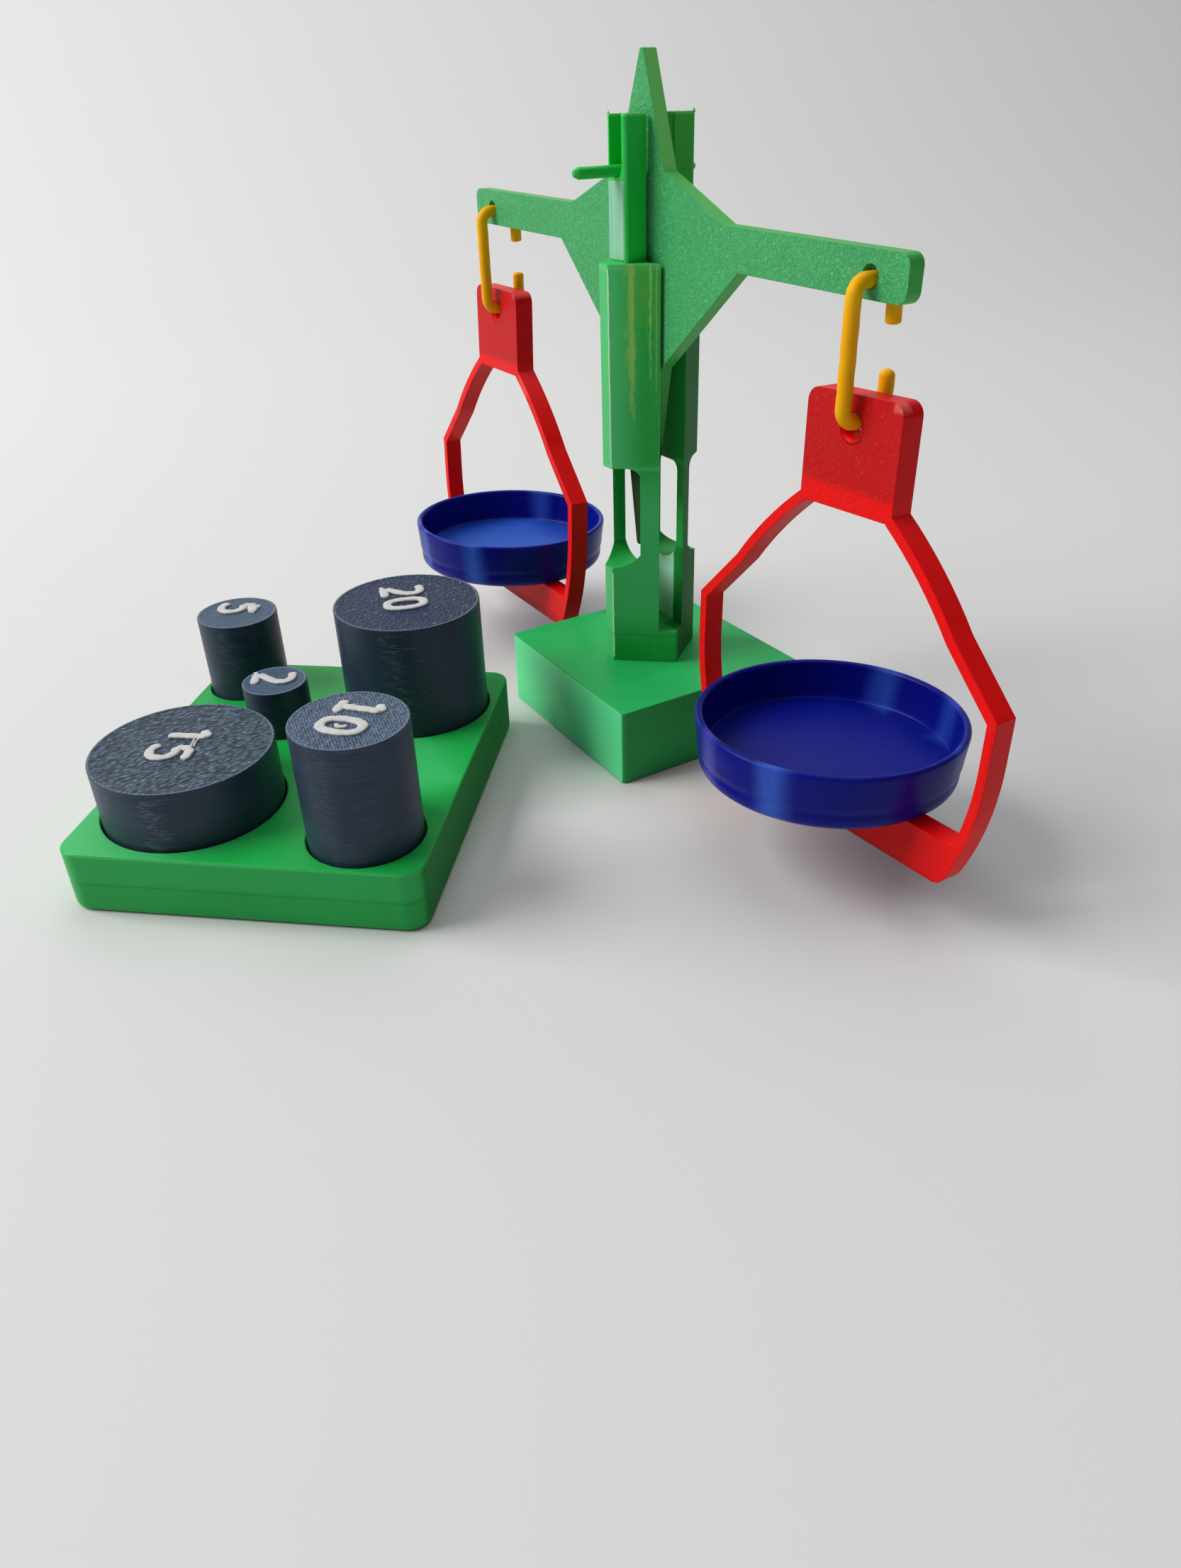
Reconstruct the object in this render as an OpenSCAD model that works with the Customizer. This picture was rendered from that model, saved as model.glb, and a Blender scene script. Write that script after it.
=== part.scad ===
/* [Base] */
// Width of the base block along the beam
base_w = 52; // [46:0.5:54]
// Depth of the base block along the pivot pin
base_d = 49; // [36:0.5:80]
// Height of the base block
base_h = 18; // [12:0.5:20]
// Radius of the upright corners of the base block
base_corner = 1.2; // [0.5:0.1:4]
// Width of the tenon under the column
tenon_w = 11; // [6:0.5:14]
// Depth of the tenon under the column
tenon_d = 8; // [5:0.5:10]
// Length of the tenon under the column
tenon_h = 9; // [5:0.5:11]

/* [Column] */
// Width of the column across its two edges along the beam
column_w = 22; // [20:0.2:26]
// Depth of the column across its two flats
column_d = 23; // [21:0.2:28]
// Width of the narrow flats on the front and the back
column_flat = 3.2; // [2:0.1:5]
// Height of the column from the base to the ledge under the uprights
column_h = 86.5; // [85:0.5:92]
// Width of the slot that splits the column into two halves
slot_w = 6.4; // [5.2:0.1:7]
// Height of the slot floor above the base
slot_floor = 7.9; // [5:0.1:11]
// Width of the window through both halves
window_w = 11.2; // [9:0.1:12]
// Height of the middle of the window floor above the base
window_floor = 22.9; // [16:0.1:26]
// Rise of the window floor from its middle to the legs
window_rise = 3.4; // [1:0.1:5]
// Height of the window from the middle of its floor to its top
window_h = 22.9; // [16:0.1:28]
// Radius of the upper corners of the window
window_corner = 2; // [1:0.1:3]
// Width of each upright along the beam
upright_w = 6.6; // [6:0.1:9]
// Thickness of each upright along the pivot pin
upright_t = 5.1; // [3:0.1:6]
// Height of the uprights above the ledge
upright_h = 25.6; // [22:0.1:30]
// Radius of the outer corners of the uprights
upright_corner = 1; // [0.4:0.1:1.4]
// Width of the open seat at the top of each upright
seat_w = 4.2; // [2.6:0.1:4.6]

/* [Pivot] */
// Diameter of the pivot pin
pin_d = 2.15; // [1.6:0.05:2.4]
// Height of the pivot pin above the ledge
pin_rise = 16.1; // [15:0.1:19]
// Length of the pivot pin in front of the front upright
pin_front = 9.5; // [4:0.5:14]
// Length of the pivot pin behind the back upright
pin_back = 2; // [1:0.5:8]
// Length of the taper at the ends of the pivot pin
pin_taper = 1.2; // [0.4:0.1:2]

/* [Beam] */
// Thickness of the beam plate
beam_t = 3; // [2:0.1:4]
// Place of the middle of the beam plate between the uprights
beam_y = -1; // [-1:0.1:0.6]
// Tilt of the beam at rest, right arm down
beam_tilt = 1; // [-3:0.1:3]
// Distance from the pivot pin to each hook hole
arm_reach = 66; // [65:0.5:72]
// Length of the arm past the hook hole
arm_end = 8.4; // [5:0.1:14]
// Height of the arms
arm_h = 7.5; // [6.6:0.1:10]
// Drop from the pivot pin to the upper edge of the arms
arm_drop = 7.6; // [5:0.1:10]
// Radius of the corners at the ends of the arms
arm_corner = 2; // [0.5:0.1:3]
// Height of the pointer above the pivot pin
pointer_h = 19.9; // [16:0.1:30]
// Half width of the foot of the pointer
pointer_foot = 8.2; // [6:0.1:10]
// Half width where the shoulders run out into the arms
shoulder = 27.3; // [20:0.1:34]
// Half width of the lower triangle where it meets the arms
gusset = 32.3; // [26:0.1:38]
// Half width at the top of the tail
tail_top = 7.8; // [5:0.1:10]
// Drop from the pivot pin to the top of the tail
tail_drop = 36.3; // [30:0.1:42]
// Drop from the pivot pin to the tip of the tail
tail_tip = 76.5; // [60:0.5:78]
// Radius of the rounded tips of the pointer and the tail
tip_r = 0.8; // [0.4:0.1:1.2]
// Diameter of the hook holes
hook_hole = 3.7; // [3.3:0.1:4.4]
// Drop from the upper edge of the arm to the middle of a hook hole
hook_hole_drop = 4.1; // [3.4:0.1:4.4]

/* [Hook] */
// Diameter of the hook wire
wire_d = 2.7; // [2:0.1:3]
// Distance between the middles of the front leg and the back stubs
hook_d = 9.1; // [8.6:0.1:12]
// Distance between the middles of the upper and the lower bar
hook_h = 21.9; // [19:0.1:26]
// Radius of the bends, to the middle of the wire
bend_r = 2.4; // [1.9:0.1:2.8]
// Length of the stub under the upper bar
stub_top = 7.3; // [5:0.1:8]
// Length of the stub over the lower bar
stub_low = 7.7; // [5:0.1:9]
// Rounding at the end of the stub under the upper bar
stub_top_round = 0.5; // [0.2:0.05:1.2]
// Rounding at the end of the stub over the lower bar
stub_low_round = 1.1; // [0.2:0.05:1.2]

/* [Hanger] */
// Thickness of the hanger frame
hanger_t = 4.6; // [3:0.1:4.8]
// Lean of the hangers towards the front
hanger_lean = 2; // [0:0.1:2.5]
// Swing of the right hanger away from the column
swing_right = 1.3; // [0:0.1:3]
// Swing of the left hanger away from the column
swing_left = 0.3; // [0:0.1:3]
// Turn of the right hanger about the upright
turn_right = 2.5; // [-3:0.1:3]
// Width of the plate at the top of the hanger
plate_w = 22; // [16:0.2:26]
// Height of the plate at the top of the hanger
plate_h = 19.6; // [17:0.1:23]
// Drop from the top of the plate to where the arms leave it
arm_root = 18.2; // [16:0.1:19]
// Radius of the upper corners of the plate
plate_corner = 2.5; // [1:0.1:4]
// Diameter of the hole in the plate
plate_hole = 5.4; // [4:0.1:6]
// Material left over the hole in the plate
plate_bridge = 2.9; // [2:0.1:4]
// Width of the hanger frame outside its arms
frame_w = 76.4; // [66:0.2:77]
// Height of the hanger frame
frame_h = 80.2; // [77:0.1:80.8]
// Thickness of the arms of the frame
arm_t = 2; // [1.6:0.1:3]
// Half width of the frame at the crease in its sloping arms
crease_x = 27.4; // [22:0.1:30]
// Outward bow of the upper part of the sloping arms
arm_bow = 0.8; // [0:0.1:1.2]
// Height of the straight stretch below the elbow
elbow_h = 9; // [4:0.1:12]
// Radius of the lower stretch of the arms
lower_r = 60; // [45:1:90]
// Height of the bottom bar
bar_h = 9.2; // [5:0.1:10]
// Radius of the outer corners of the bottom bar
bar_corner = 3; // [1:0.1:4]

/* [Pan] */
// Radius of the pan at its rim
pan_r = 26.2; // [24:0.2:28]
// Height of the pan
pan_h = 11.7; // [10:0.1:13]
// Thickness of the wall of the pan
pan_wall = 1.5; // [1.1:0.1:2]
// Thickness of the floor of the pan
pan_floor = 3.6; // [1.5:0.1:4]
// Amount by which the wall draws in from the rim to the bottom
pan_inset = 1.2; // [0.4:0.1:2]
// Drop from the rim to the groove around the wall
groove_drop = 8.2; // [6:0.1:8.4]
// Depth of the groove around the wall
groove_depth = 0.35; // [0.1:0.05:0.5]
// Width of the bevel under the pan
pan_edge = 1; // [0.5:0.1:2]

/* [Weight tray] */
// Length of the tray along its front edge
tray_w = 72.4; // [72:0.2:84]
// Depth of the tray away from its front edge
tray_d = 83.3; // [83:0.1:96]
// Height of the tray
tray_h = 13.5; // [11:0.1:18]
// Radius of the upright corners of the tray
tray_corner = 4.5; // [2:0.1:6]
// Height of the pocket floors
pocket_floor = 6.5; // [3:0.1:9]
// Turn of the tray on the table
tray_turn = 51.4; // [45:0.1:57]
// Wall between the left edge and the pocket of five grams
side_wall_5 = 0.9; // [0.8:0.1:6]
// Wall between the back edge and the pocket of five grams
end_wall_5 = 1.05; // [0.8:0.05:6]
// Wall between the right edge and the pocket of ten grams
side_wall_10 = 2.6; // [0.8:0.1:6]
// Wall between the front edge and the pocket of ten grams
end_wall_10 = 1.35; // [0.8:0.05:6]
// Wall between the left edge and the pocket of fifteen grams
side_wall_15 = 1.6; // [0.8:0.1:4]
// Wall between the front edge and the pocket of fifteen grams
end_wall_15 = 2.45; // [0.8:0.05:4]
// Wall between the right edge and the pocket of twenty grams
side_wall_20 = 1.7; // [0.8:0.1:4]
// Wall between the back edge and the pocket of twenty grams
end_wall_20 = 1.15; // [0.8:0.05:4]
// Place of the pocket of two grams, left of the middle of the tray
left_2 = 10.4; // [6:0.1:14]
// Place of the pocket of two grams, behind the middle of the tray
behind_2 = 11.7; // [8:0.1:15]
// Place of the middle of the tray along the beam
tray_x = -4.9; // [-10:0.1:0]
// Place of the middle of the tray along the pivot pin
tray_y = -85.7; // [-110:0.1:-82]

/* [Weights] */
// Radius of the weight of two grams
radius_2 = 7.1; // [5:0.1:8]
// Height of the weight of two grams
height_2 = 17.9; // [12:0.1:30]
// Radius of the weight of five grams
radius_5 = 9.1; // [7:0.1:9.4]
// Height of the weight of five grams
height_5 = 25.3; // [15:0.1:40]
// Radius of the weight of ten grams
radius_10 = 11.2; // [9:0.1:12]
// Height of the weight of ten grams
height_10 = 31.7; // [20:0.1:50]
// Radius of the weight of fifteen grams
radius_15 = 17.9; // [14:0.1:18.4]
// Height of the weight of fifteen grams
height_15 = 19.6; // [14:0.1:40]
// Radius of the weight of twenty grams
radius_20 = 16.1; // [12:0.1:17]
// Height of the weight of twenty grams
height_20 = 32.4; // [20:0.1:50]
// Radius of the rounded edges of the weights
weight_edge = 0.5; // [0.2:0.1:1]

/* [Fits] */
// Clearance on each side of the tenon
tenon_gap = 0.1; // [0.05:0.05:0.3]
// Radial clearance of the pivot pin in the beam
pin_gap = 0.05; // [0.02:0.01:0.1]
// Clearance under pieces that rest in a seat
seat_gap = 0.05; // [0.02:0.01:0.1]
// Clearance between the hook wire and the top of the plate hole
hang_gap = 0.2; // [0.15:0.05:0.3]
// Clearance around each weight in its pocket
pocket_gap = 0.3; // [0.2:0.05:0.5]

/* [Hidden] */

$fn = 96;
through = 1;

// Heights that the column carries
ledge_z = base_h + column_h;
pin_z = ledge_z + pin_rise;
window_z = base_h + window_floor;
window_top = window_z + window_h;
seat_z = pin_z - pin_d / 2 - seat_gap;

// Half sizes of the column plan
edge_x = column_w / 2;
flat_x = column_flat / 2;
flat_y = column_d / 2;
upright_y = slot_w / 2 + upright_t;

// Drops inside the beam, from the pivot pin
arm_top = -arm_drop;
arm_low = -arm_drop - arm_h;
beam_end = arm_reach + arm_end;

// Where the wire of a hook lies in its hole, for each side
hook_sag = (hook_hole - wire_d) / 2 - seat_gap;
function hook_x(side) =
  side * arm_reach * cos(beam_tilt) - (arm_drop + hook_hole_drop) * sin(beam_tilt);
function hook_z(side) =
  pin_z - side * arm_reach * sin(beam_tilt) - (arm_drop + hook_hole_drop) * cos(beam_tilt) - hook_sag;
function bar_z(side) = hook_z(side) - hook_h;

// Drops inside the hanger, from the middle of the lower hook bar
plate_top = wire_d / 2 + hang_gap + plate_bridge;
plate_bottom = plate_top - plate_h;
hole_z = wire_d / 2 + hang_gap - plate_hole / 2;
frame_bottom = plate_top - frame_h;
bar_top = frame_bottom + bar_h;
frame_x = frame_w / 2;
arm_start = [plate_w / 2, plate_top - arm_root];
crease = [crease_x, arm_start[1] - (crease_x - arm_start[0])];
elbow = [frame_x, crease[1] - (frame_x - crease_x)];

// Radius of the pan wall at a drop below the rim
function wall_r(drop) = pan_r - pan_inset * drop / pan_h;

// Middle of a pocket from the walls beside it, to the left or right and to the front or back
function in_corner(x_way, y_way, side_wall, end_wall, radius) = [
  x_way * (tray_w / 2 - side_wall - pocket_gap - radius),
  y_way * (tray_d / 2 - end_wall - pocket_gap - radius)
];

// Name, place on the tray, radius and height of each weight
weights = [
  ["weight_2", [-left_2, behind_2], radius_2, height_2],
  ["weight_5", in_corner(-1, 1, side_wall_5, end_wall_5, radius_5), radius_5, height_5],
  ["weight_10", in_corner(1, -1, side_wall_10, end_wall_10, radius_10), radius_10, height_10],
  ["weight_15", in_corner(-1, -1, side_wall_15, end_wall_15, radius_15), radius_15, height_15],
  ["weight_20", in_corner(1, 1, side_wall_20, end_wall_20, radius_20), radius_20, height_20]
];

// Points on an arc through two ends with a given bow to its left
function arc_points(a, b, bow, count) =
  let (
    chord = b - a,
    length = norm(chord),
    side = [-chord[1], chord[0]] / length,
    radius = (length * length / 4 + bow * bow) / (2 * bow),
    centre = (a + b) / 2 - side * (radius - bow),
    half = asin(length / 2 / radius),
    middle = atan2(side[1], side[0])
  )
  [for (i = [0:count]) centre + radius * [
    cos(middle + half - 2 * half * i / count),
    sin(middle + half - 2 * half * i / count)
  ]];

// Path moved to its right by a distance, with mitred corners
function moved_path(path, distance) =
  [for (i = [0:len(path) - 1])
    let (
      before = path[max(i - 1, 0)],
      after = path[min(i + 1, len(path) - 1)],
      first = i == 0 ? after - path[i] : path[i] - before,
      second = i == len(path) - 1 ? first : after - path[i],
      first_side = [first[1], -first[0]] / norm(first),
      second_side = [second[1], -second[0]] / norm(second),
      bisector = first_side + second_side
    )
    path[i] + bisector * distance * 2 / (bisector * bisector)
  ];

function reversed(path) = [for (i = [len(path) - 1:-1:0]) path[i]];

// Symmetric plate from its right half, listed from the top down
module mirrored_plate(half) {
  polygon(concat(reversed(half), [for (p = half) [-p[0], p[1]]]));
}

module rounded_rect(width, depth, radius) {
  square([width - 2 * radius, depth], center = true);
  square([width, depth - 2 * radius], center = true);
  for (x = [-1, 1], y = [-1, 1]) {
    translate([x * (width / 2 - radius), y * (depth / 2 - radius)])
      circle(r = radius);
  }
}

module column_plan() {
  polygon([
    [flat_x, flat_y], [edge_x, 0], [flat_x, -flat_y],
    [-flat_x, -flat_y], [-edge_x, 0], [-flat_x, flat_y]
  ]);
}

module tenon_plan(gap) {
  square([tenon_w + 2 * gap, tenon_d + 2 * gap], center = true);
}

// Plate standing across the pin, with its middle at a given depth
module standing(thickness, middle) {
  translate([0, middle + thickness / 2, 0])
    rotate([90, 0, 0])
      linear_extrude(thickness)
        children();
}

module base() {
  color("limegreen")
    difference() {
      linear_extrude(base_h)
        rounded_rect(base_w, base_d, base_corner);
      translate([0, 0, base_h - tenon_h - tenon_gap])
        linear_extrude(tenon_h + tenon_gap + through)
          tenon_plan(tenon_gap);
    }
}

// Opening between the legs, with a dished floor and rounded upper corners
module window_shape() {
  half = window_w / 2;
  dish = (half * half + window_rise * window_rise) / (2 * window_rise);
  difference() {
    translate([-half, window_z])
      square([window_w, window_h - window_corner]);
    difference() {
      translate([-half, window_z])
        square([window_w, window_rise]);
      translate([0, window_z + dish])
        circle(r = dish);
    }
  }
  translate([-half + window_corner, window_z + window_rise])
    square([window_w - 2 * window_corner, window_h - window_rise]);
  for (x = [-1, 1]) {
    translate([x * (half - window_corner), window_top - window_corner])
      circle(r = window_corner);
  }
}

module upright(side) {
  inner = slot_w / 2;
  outer = upright_y;
  length = upright_h;
  translate([0, 0, ledge_z])
    linear_extrude(length)
      union() {
        translate([-upright_w / 2, side > 0 ? inner : -outer + upright_corner])
          square([upright_w, upright_t - upright_corner]);
        translate([-upright_w / 2 + upright_corner, side > 0 ? inner : -outer])
          square([upright_w - 2 * upright_corner, upright_t]);
        for (x = [-1, 1]) {
          translate([x * (upright_w / 2 - upright_corner), side * (outer - upright_corner)])
            circle(r = upright_corner);
        }
      }
}

module column() {
  color("forestgreen")
    difference() {
      union() {
        translate([0, 0, base_h - tenon_h])
          linear_extrude(tenon_h + through)
            tenon_plan(0);
        translate([0, 0, base_h])
          linear_extrude(column_h)
            column_plan();
        for (side = [-1, 1]) {
          upright(side);
        }
      }
      translate([-column_w, -slot_w / 2, base_h + slot_floor])
        cube([2 * column_w, slot_w, column_h + upright_h]);
      standing(2 * column_d, 0)
        window_shape();
      standing(2 * column_d, 0)
        translate([0, seat_z + seat_w / 2])
          circle(d = seat_w);
      standing(2 * column_d, 0)
        translate([-seat_w / 2, seat_z + seat_w / 2])
          square([seat_w, upright_h]);
    }
}

module pivot_pin() {
  front = -upright_y - pin_front;
  back = upright_y + pin_back;
  blunt = pin_d / 4;
  color("darkgreen")
    translate([0, back, pin_z])
      rotate([90, 0, 0])
        rotate_extrude()
          polygon([
            [0, 0], [blunt, 0], [pin_d / 2, pin_taper],
            [pin_d / 2, back - front - pin_taper], [blunt, back - front], [0, back - front]
          ]);
}

// Point on the line from one point through another, a distance past it
function beyond(a, b, distance) = b + (b - a) / norm(b - a) * distance;

// Right half of a rounded tip, pointing up or down
function tip_points(height, way) =
  [for (angle = [75:-15:30]) [tip_r * cos(angle), height - way * tip_r * (1 - sin(angle))]];

// Arms as one rounded bar, with the pointer and the tail as one plate over them
module beam_shape() {
  foot = [pointer_foot, 0];
  tail = [tail_top, -tail_drop];
  overlap = arm_h / 4;
  mirrored_plate(concat(
    tip_points(pointer_h, 1),
    [foot, beyond(foot, [shoulder, arm_top], overlap)],
    [beyond(tail, [gusset, arm_low], overlap), tail],
    reversed(tip_points(-tail_tip, -1))
  ));
  translate([0, (arm_top + arm_low) / 2])
    rounded_rect(2 * beam_end, arm_h, arm_corner);
}

module beam() {
  color("mediumseagreen")
    translate([0, 0, pin_z])
      rotate([0, beam_tilt, 0])
        standing(beam_t, beam_y)
          difference() {
            beam_shape();
            circle(d = pin_d + 2 * pin_gap);
            for (side = [-1, 1]) {
              translate([side * arm_reach, arm_top - hook_hole_drop])
                circle(d = hook_hole);
            }
          }
}

// Quarter bend of the hook wire in the plane of the hook
module wire_bend() {
  rotate([90, 0, 90])
    rotate_extrude(angle = 90)
      translate([bend_r, 0])
        circle(d = wire_d, $fn = 32);
}

// Straight stretch of the hook wire that rises from a point
module wire_run(length) {
  cylinder(d = wire_d, h = length, $fn = 32);
}

// Stub that ends in a rounded edge
module wire_stub(length, edge) {
  rotate_extrude($fn = 32)
    union() {
      square([wire_d / 2, length - edge]);
      square([wire_d / 2 - edge, length]);
      translate([wire_d / 2 - edge, length - edge])
        intersection() {
          circle(r = edge, $fn = 32);
          square(edge);
        }
    }
}

module hook(side) {
  bar = hook_d - 2 * bend_r;
  leg = hook_h - 2 * bend_r;
  color("gold")
    translate([hook_x(side), beam_y, bar_z(side)]) {
      for (z = [0, hook_h]) {
        translate([0, bar / 2, z])
          rotate([90, 0, 0])
            wire_run(bar);
      }
      translate([0, -hook_d / 2, bend_r])
        wire_run(leg);
      translate([0, bar / 2, hook_h - bend_r])
        wire_bend();
      translate([0, -bar / 2, hook_h - bend_r])
        mirror([0, 1, 0])
          wire_bend();
      translate([0, bar / 2, bend_r])
        mirror([0, 0, 1])
          wire_bend();
      translate([0, -bar / 2, bend_r])
        mirror([0, 1, 0])
          mirror([0, 0, 1])
            wire_bend();
      translate([0, hook_d / 2, bend_r])
        wire_stub(stub_low - bend_r, stub_low_round);
      translate([0, hook_d / 2, hook_h - bend_r])
        mirror([0, 0, 1])
          wire_stub(stub_top - bend_r, stub_top_round);
    }
}

// Point on a curve that runs down the side of the frame, inside it by an inset
function lower_point(inset, sweep) = [
  frame_x - lower_r + (lower_r - inset) * cos(sweep),
  elbow[1] - elbow_h - (lower_r - inset) * sin(sweep)
];

// Sweep at which that curve comes down to a height
function sweep_at(inset, height) = asin((elbow[1] - elbow_h - height) / (lower_r - inset));

// Right half of the frame line from the plate to the end of its lower curve
function frame_side(inset, sweep) =
  concat(
    moved_path(concat(arc_points(arm_start, crease, arm_bow, 8), [elbow, lower_point(0, 0)]), inset),
    [for (i = [1:10]) lower_point(inset, sweep * i / 10)]
  );

module frame_outline() {
  sweep = sweep_at(bar_corner, frame_bottom + bar_corner);
  centre = lower_point(bar_corner, sweep);
  corner = [for (i = [1:6])
    let (angle = sweep + (90 - sweep) * i / 6)
    centre + bar_corner * [cos(angle), -sin(angle)]
  ];
  root = arm_start + [-arm_t, arm_t];
  mirrored_plate(concat([root], frame_side(0, sweep), corner));
}

module frame_gap() {
  inside = frame_side(arm_t, sweep_at(arm_t, bar_top));
  mirrored_plate(concat([[inside[0][0], plate_bottom]], inside));
}

module hanger_shape() {
  difference() {
    union() {
      frame_outline();
      translate([0, plate_top - plate_h / 2])
        rounded_rect(plate_w, plate_h, plate_corner);
      translate([-plate_w / 2, plate_bottom])
        square([plate_w, plate_h / 2]);
    }
    frame_gap();
    translate([0, hole_z])
      circle(d = plate_hole);
  }
}

// Place of everything that hangs from the lower bar of a hook
module hung(side) {
  swing = side > 0 ? swing_right : swing_left;
  turn = side > 0 ? turn_right : 0;
  translate([hook_x(side), beam_y, bar_z(side)])
    rotate([-hanger_lean, -side * swing, turn])
      children();
}

module hanger(side) {
  color("firebrick")
    hung(side)
      standing(hanger_t, 0)
        hanger_shape();
}

module pan_profile() {
  round_r = pan_wall / 2;
  step_z = pan_h - groove_drop;
  bottom_r = wall_r(pan_h);
  difference() {
    union() {
      polygon([
        [0, 0], [bottom_r - pan_edge, 0], [bottom_r, pan_edge], [wall_r(groove_drop), step_z],
        [wall_r(round_r), pan_h - round_r],
        [wall_r(round_r) - pan_wall, pan_h - round_r],
        [bottom_r - pan_wall, pan_floor], [0, pan_floor]
      ]);
      translate([wall_r(round_r) - round_r, pan_h - round_r])
        circle(r = round_r, $fn = 32);
    }
    translate([wall_r(groove_drop) + groove_depth, step_z])
      circle(r = 2 * groove_depth, $fn = 32);
  }
}

module pan(side) {
  color("mediumblue")
    hung(side)
      translate([0, 0, bar_top + seat_gap])
        rotate_extrude()
          pan_profile();
}

// Place and turn of everything that stands on the tray
module on_tray() {
  translate([tray_x, tray_y, 0])
    rotate([0, 0, tray_turn])
      children();
}

// Upper layer of the tray, with a round pocket for each weight
module weight_tray() {
  color("seagreen")
    on_tray()
      translate([0, 0, pocket_floor])
        linear_extrude(tray_h - pocket_floor)
          difference() {
            rounded_rect(tray_w, tray_d, tray_corner);
            for (w = weights) {
              translate(w[1])
                circle(r = w[2] + pocket_gap);
            }
          }
}

// Lower layer of the tray, which closes the pockets
module tray_floor() {
  color("seagreen")
    on_tray()
      linear_extrude(pocket_floor)
        rounded_rect(tray_w, tray_d, tray_corner);
}

module weight(index) {
  w = weights[index];
  radius = w[2];
  height = w[3];
  edge = weight_edge;
  color("slategray")
    on_tray()
      translate([w[1][0], w[1][1], pocket_floor + seat_gap])
        rotate_extrude()
          union() {
            square([radius - edge, height]);
            translate([0, edge])
              square([radius, height - 2 * edge]);
            for (z = [edge, height - edge]) {
              translate([radius - edge, z])
                circle(r = edge, $fn = 32);
            }
          }
}

base();
column();
pivot_pin();
beam();
hook(-1);  // hook_left
hook(1);  // hook_right
hanger(-1);  // hanger_left
hanger(1);  // hanger_right
pan(-1);  // pan_left
pan(1);  // pan_right
weight_tray();
tray_floor();
weight(0);  // weight_2
weight(1);  // weight_5
weight(2);  // weight_10
weight(3);  // weight_15
weight(4);  // weight_20
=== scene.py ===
# %% [markdown]
# A balance scale from a 3-D printer. Every part of the real one came off a printer in one colour of
# plastic, so the lesson is about printed plastic: layer lines on the sides, crossing lines on the
# tops, a grainy skin on the flat plates, and edges that are a little soft.
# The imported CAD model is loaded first. It is the fixed frame that every piece below fits.

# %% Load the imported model
import bmesh
import bpy
import numpy as np
from mathutils import Matrix


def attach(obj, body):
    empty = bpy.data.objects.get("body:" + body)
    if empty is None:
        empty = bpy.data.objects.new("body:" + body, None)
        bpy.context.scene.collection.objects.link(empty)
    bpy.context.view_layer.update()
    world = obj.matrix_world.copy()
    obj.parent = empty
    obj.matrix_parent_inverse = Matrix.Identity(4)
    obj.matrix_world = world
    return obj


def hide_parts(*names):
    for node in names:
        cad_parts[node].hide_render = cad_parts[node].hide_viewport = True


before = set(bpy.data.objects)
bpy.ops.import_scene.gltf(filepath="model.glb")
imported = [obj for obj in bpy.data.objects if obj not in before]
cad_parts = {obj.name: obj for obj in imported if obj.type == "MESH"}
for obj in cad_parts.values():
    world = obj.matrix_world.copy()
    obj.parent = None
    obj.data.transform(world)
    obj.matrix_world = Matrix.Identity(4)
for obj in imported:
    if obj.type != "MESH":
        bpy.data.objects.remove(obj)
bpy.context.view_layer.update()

MM = 0.001
print("nodes:", ", ".join(sorted(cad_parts)))

# %% [markdown]
# The camera stands where the photographer stood: to the right of the scale and a little above it,
# looking down by 32 degrees. Its place and turn were worked out from straight edges of known
# direction, so they are written here as numbers. The three rows are the directions in which the
# picture's right, down and depth point.

# %% Camera
EYE = np.array([205.78, -136.80, 133.54]) * MM
VIEW_ROWS = np.array([
    [0.51262024, 0.85816454, -0.02782284],
    [0.43884519, -0.28971872, -0.85057508],
    [-0.73799417, 0.42381208, -0.52511706],
])
IMAGE = np.array([1666, 2212])
FOCAL_PX = 1559.37
CENTRE_PX = np.array([830.35, 1093.74])

camera_data = bpy.data.cameras.new("camera")
camera_data.sensor_fit = "VERTICAL"
camera_data.sensor_width = camera_data.sensor_height = 36
camera_data.lens = FOCAL_PX / IMAGE[1] * camera_data.sensor_height
camera_data.shift_x = (IMAGE[0] / 2 - CENTRE_PX[0]) / IMAGE[1]
camera_data.shift_y = (CENTRE_PX[1] - IMAGE[1] / 2) / IMAGE[1]
camera_data.clip_start, camera_data.clip_end = 0.01, 50
camera = bpy.data.objects.new("camera", camera_data)
bpy.context.collection.objects.link(camera)
turn = Matrix((VIEW_ROWS * np.array([[1], [-1], [-1]])).T.tolist()).to_4x4()
camera.matrix_world = Matrix.Translation(EYE.tolist()) @ turn
bpy.context.scene.camera = camera
bpy.context.scene.view_settings.view_transform = "Standard"
print("lens in mm:", round(camera_data.lens, 3))

# %% [markdown]
# Soft daylight comes from the left and from above, as from a large window. One broad lamp stands for
# it, and a weaker one fills from above. The world gives only a little light, because the sides that
# look to the right are clearly darker in the photograph.

# %% Light
def unit(vectors):
    """Each vector divided by its own length."""
    return vectors / np.linalg.norm(vectors, axis=-1, keepdims=True)


def add_lamp(name, place, target, size, power, tint):
    """Square lamp that looks from a place to a target, with its size in metres and its power in watts."""
    data = bpy.data.lights.new(name, "AREA")
    data.shape, data.size, data.energy, data.color = "SQUARE", size, power, tint
    lamp = bpy.data.objects.new(name, data)
    bpy.context.collection.objects.link(lamp)
    away = np.array(place) - target
    distance, away = float(np.linalg.norm(away)), unit(away)
    side = unit(np.cross([0, 0, 1], away))
    rows = np.stack([side, np.cross(away, side), away])
    lamp.matrix_world = Matrix.Translation(place) @ Matrix(rows.T.tolist()).to_4x4()
    print(name, "stands", round(distance, 2), "m away")


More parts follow.
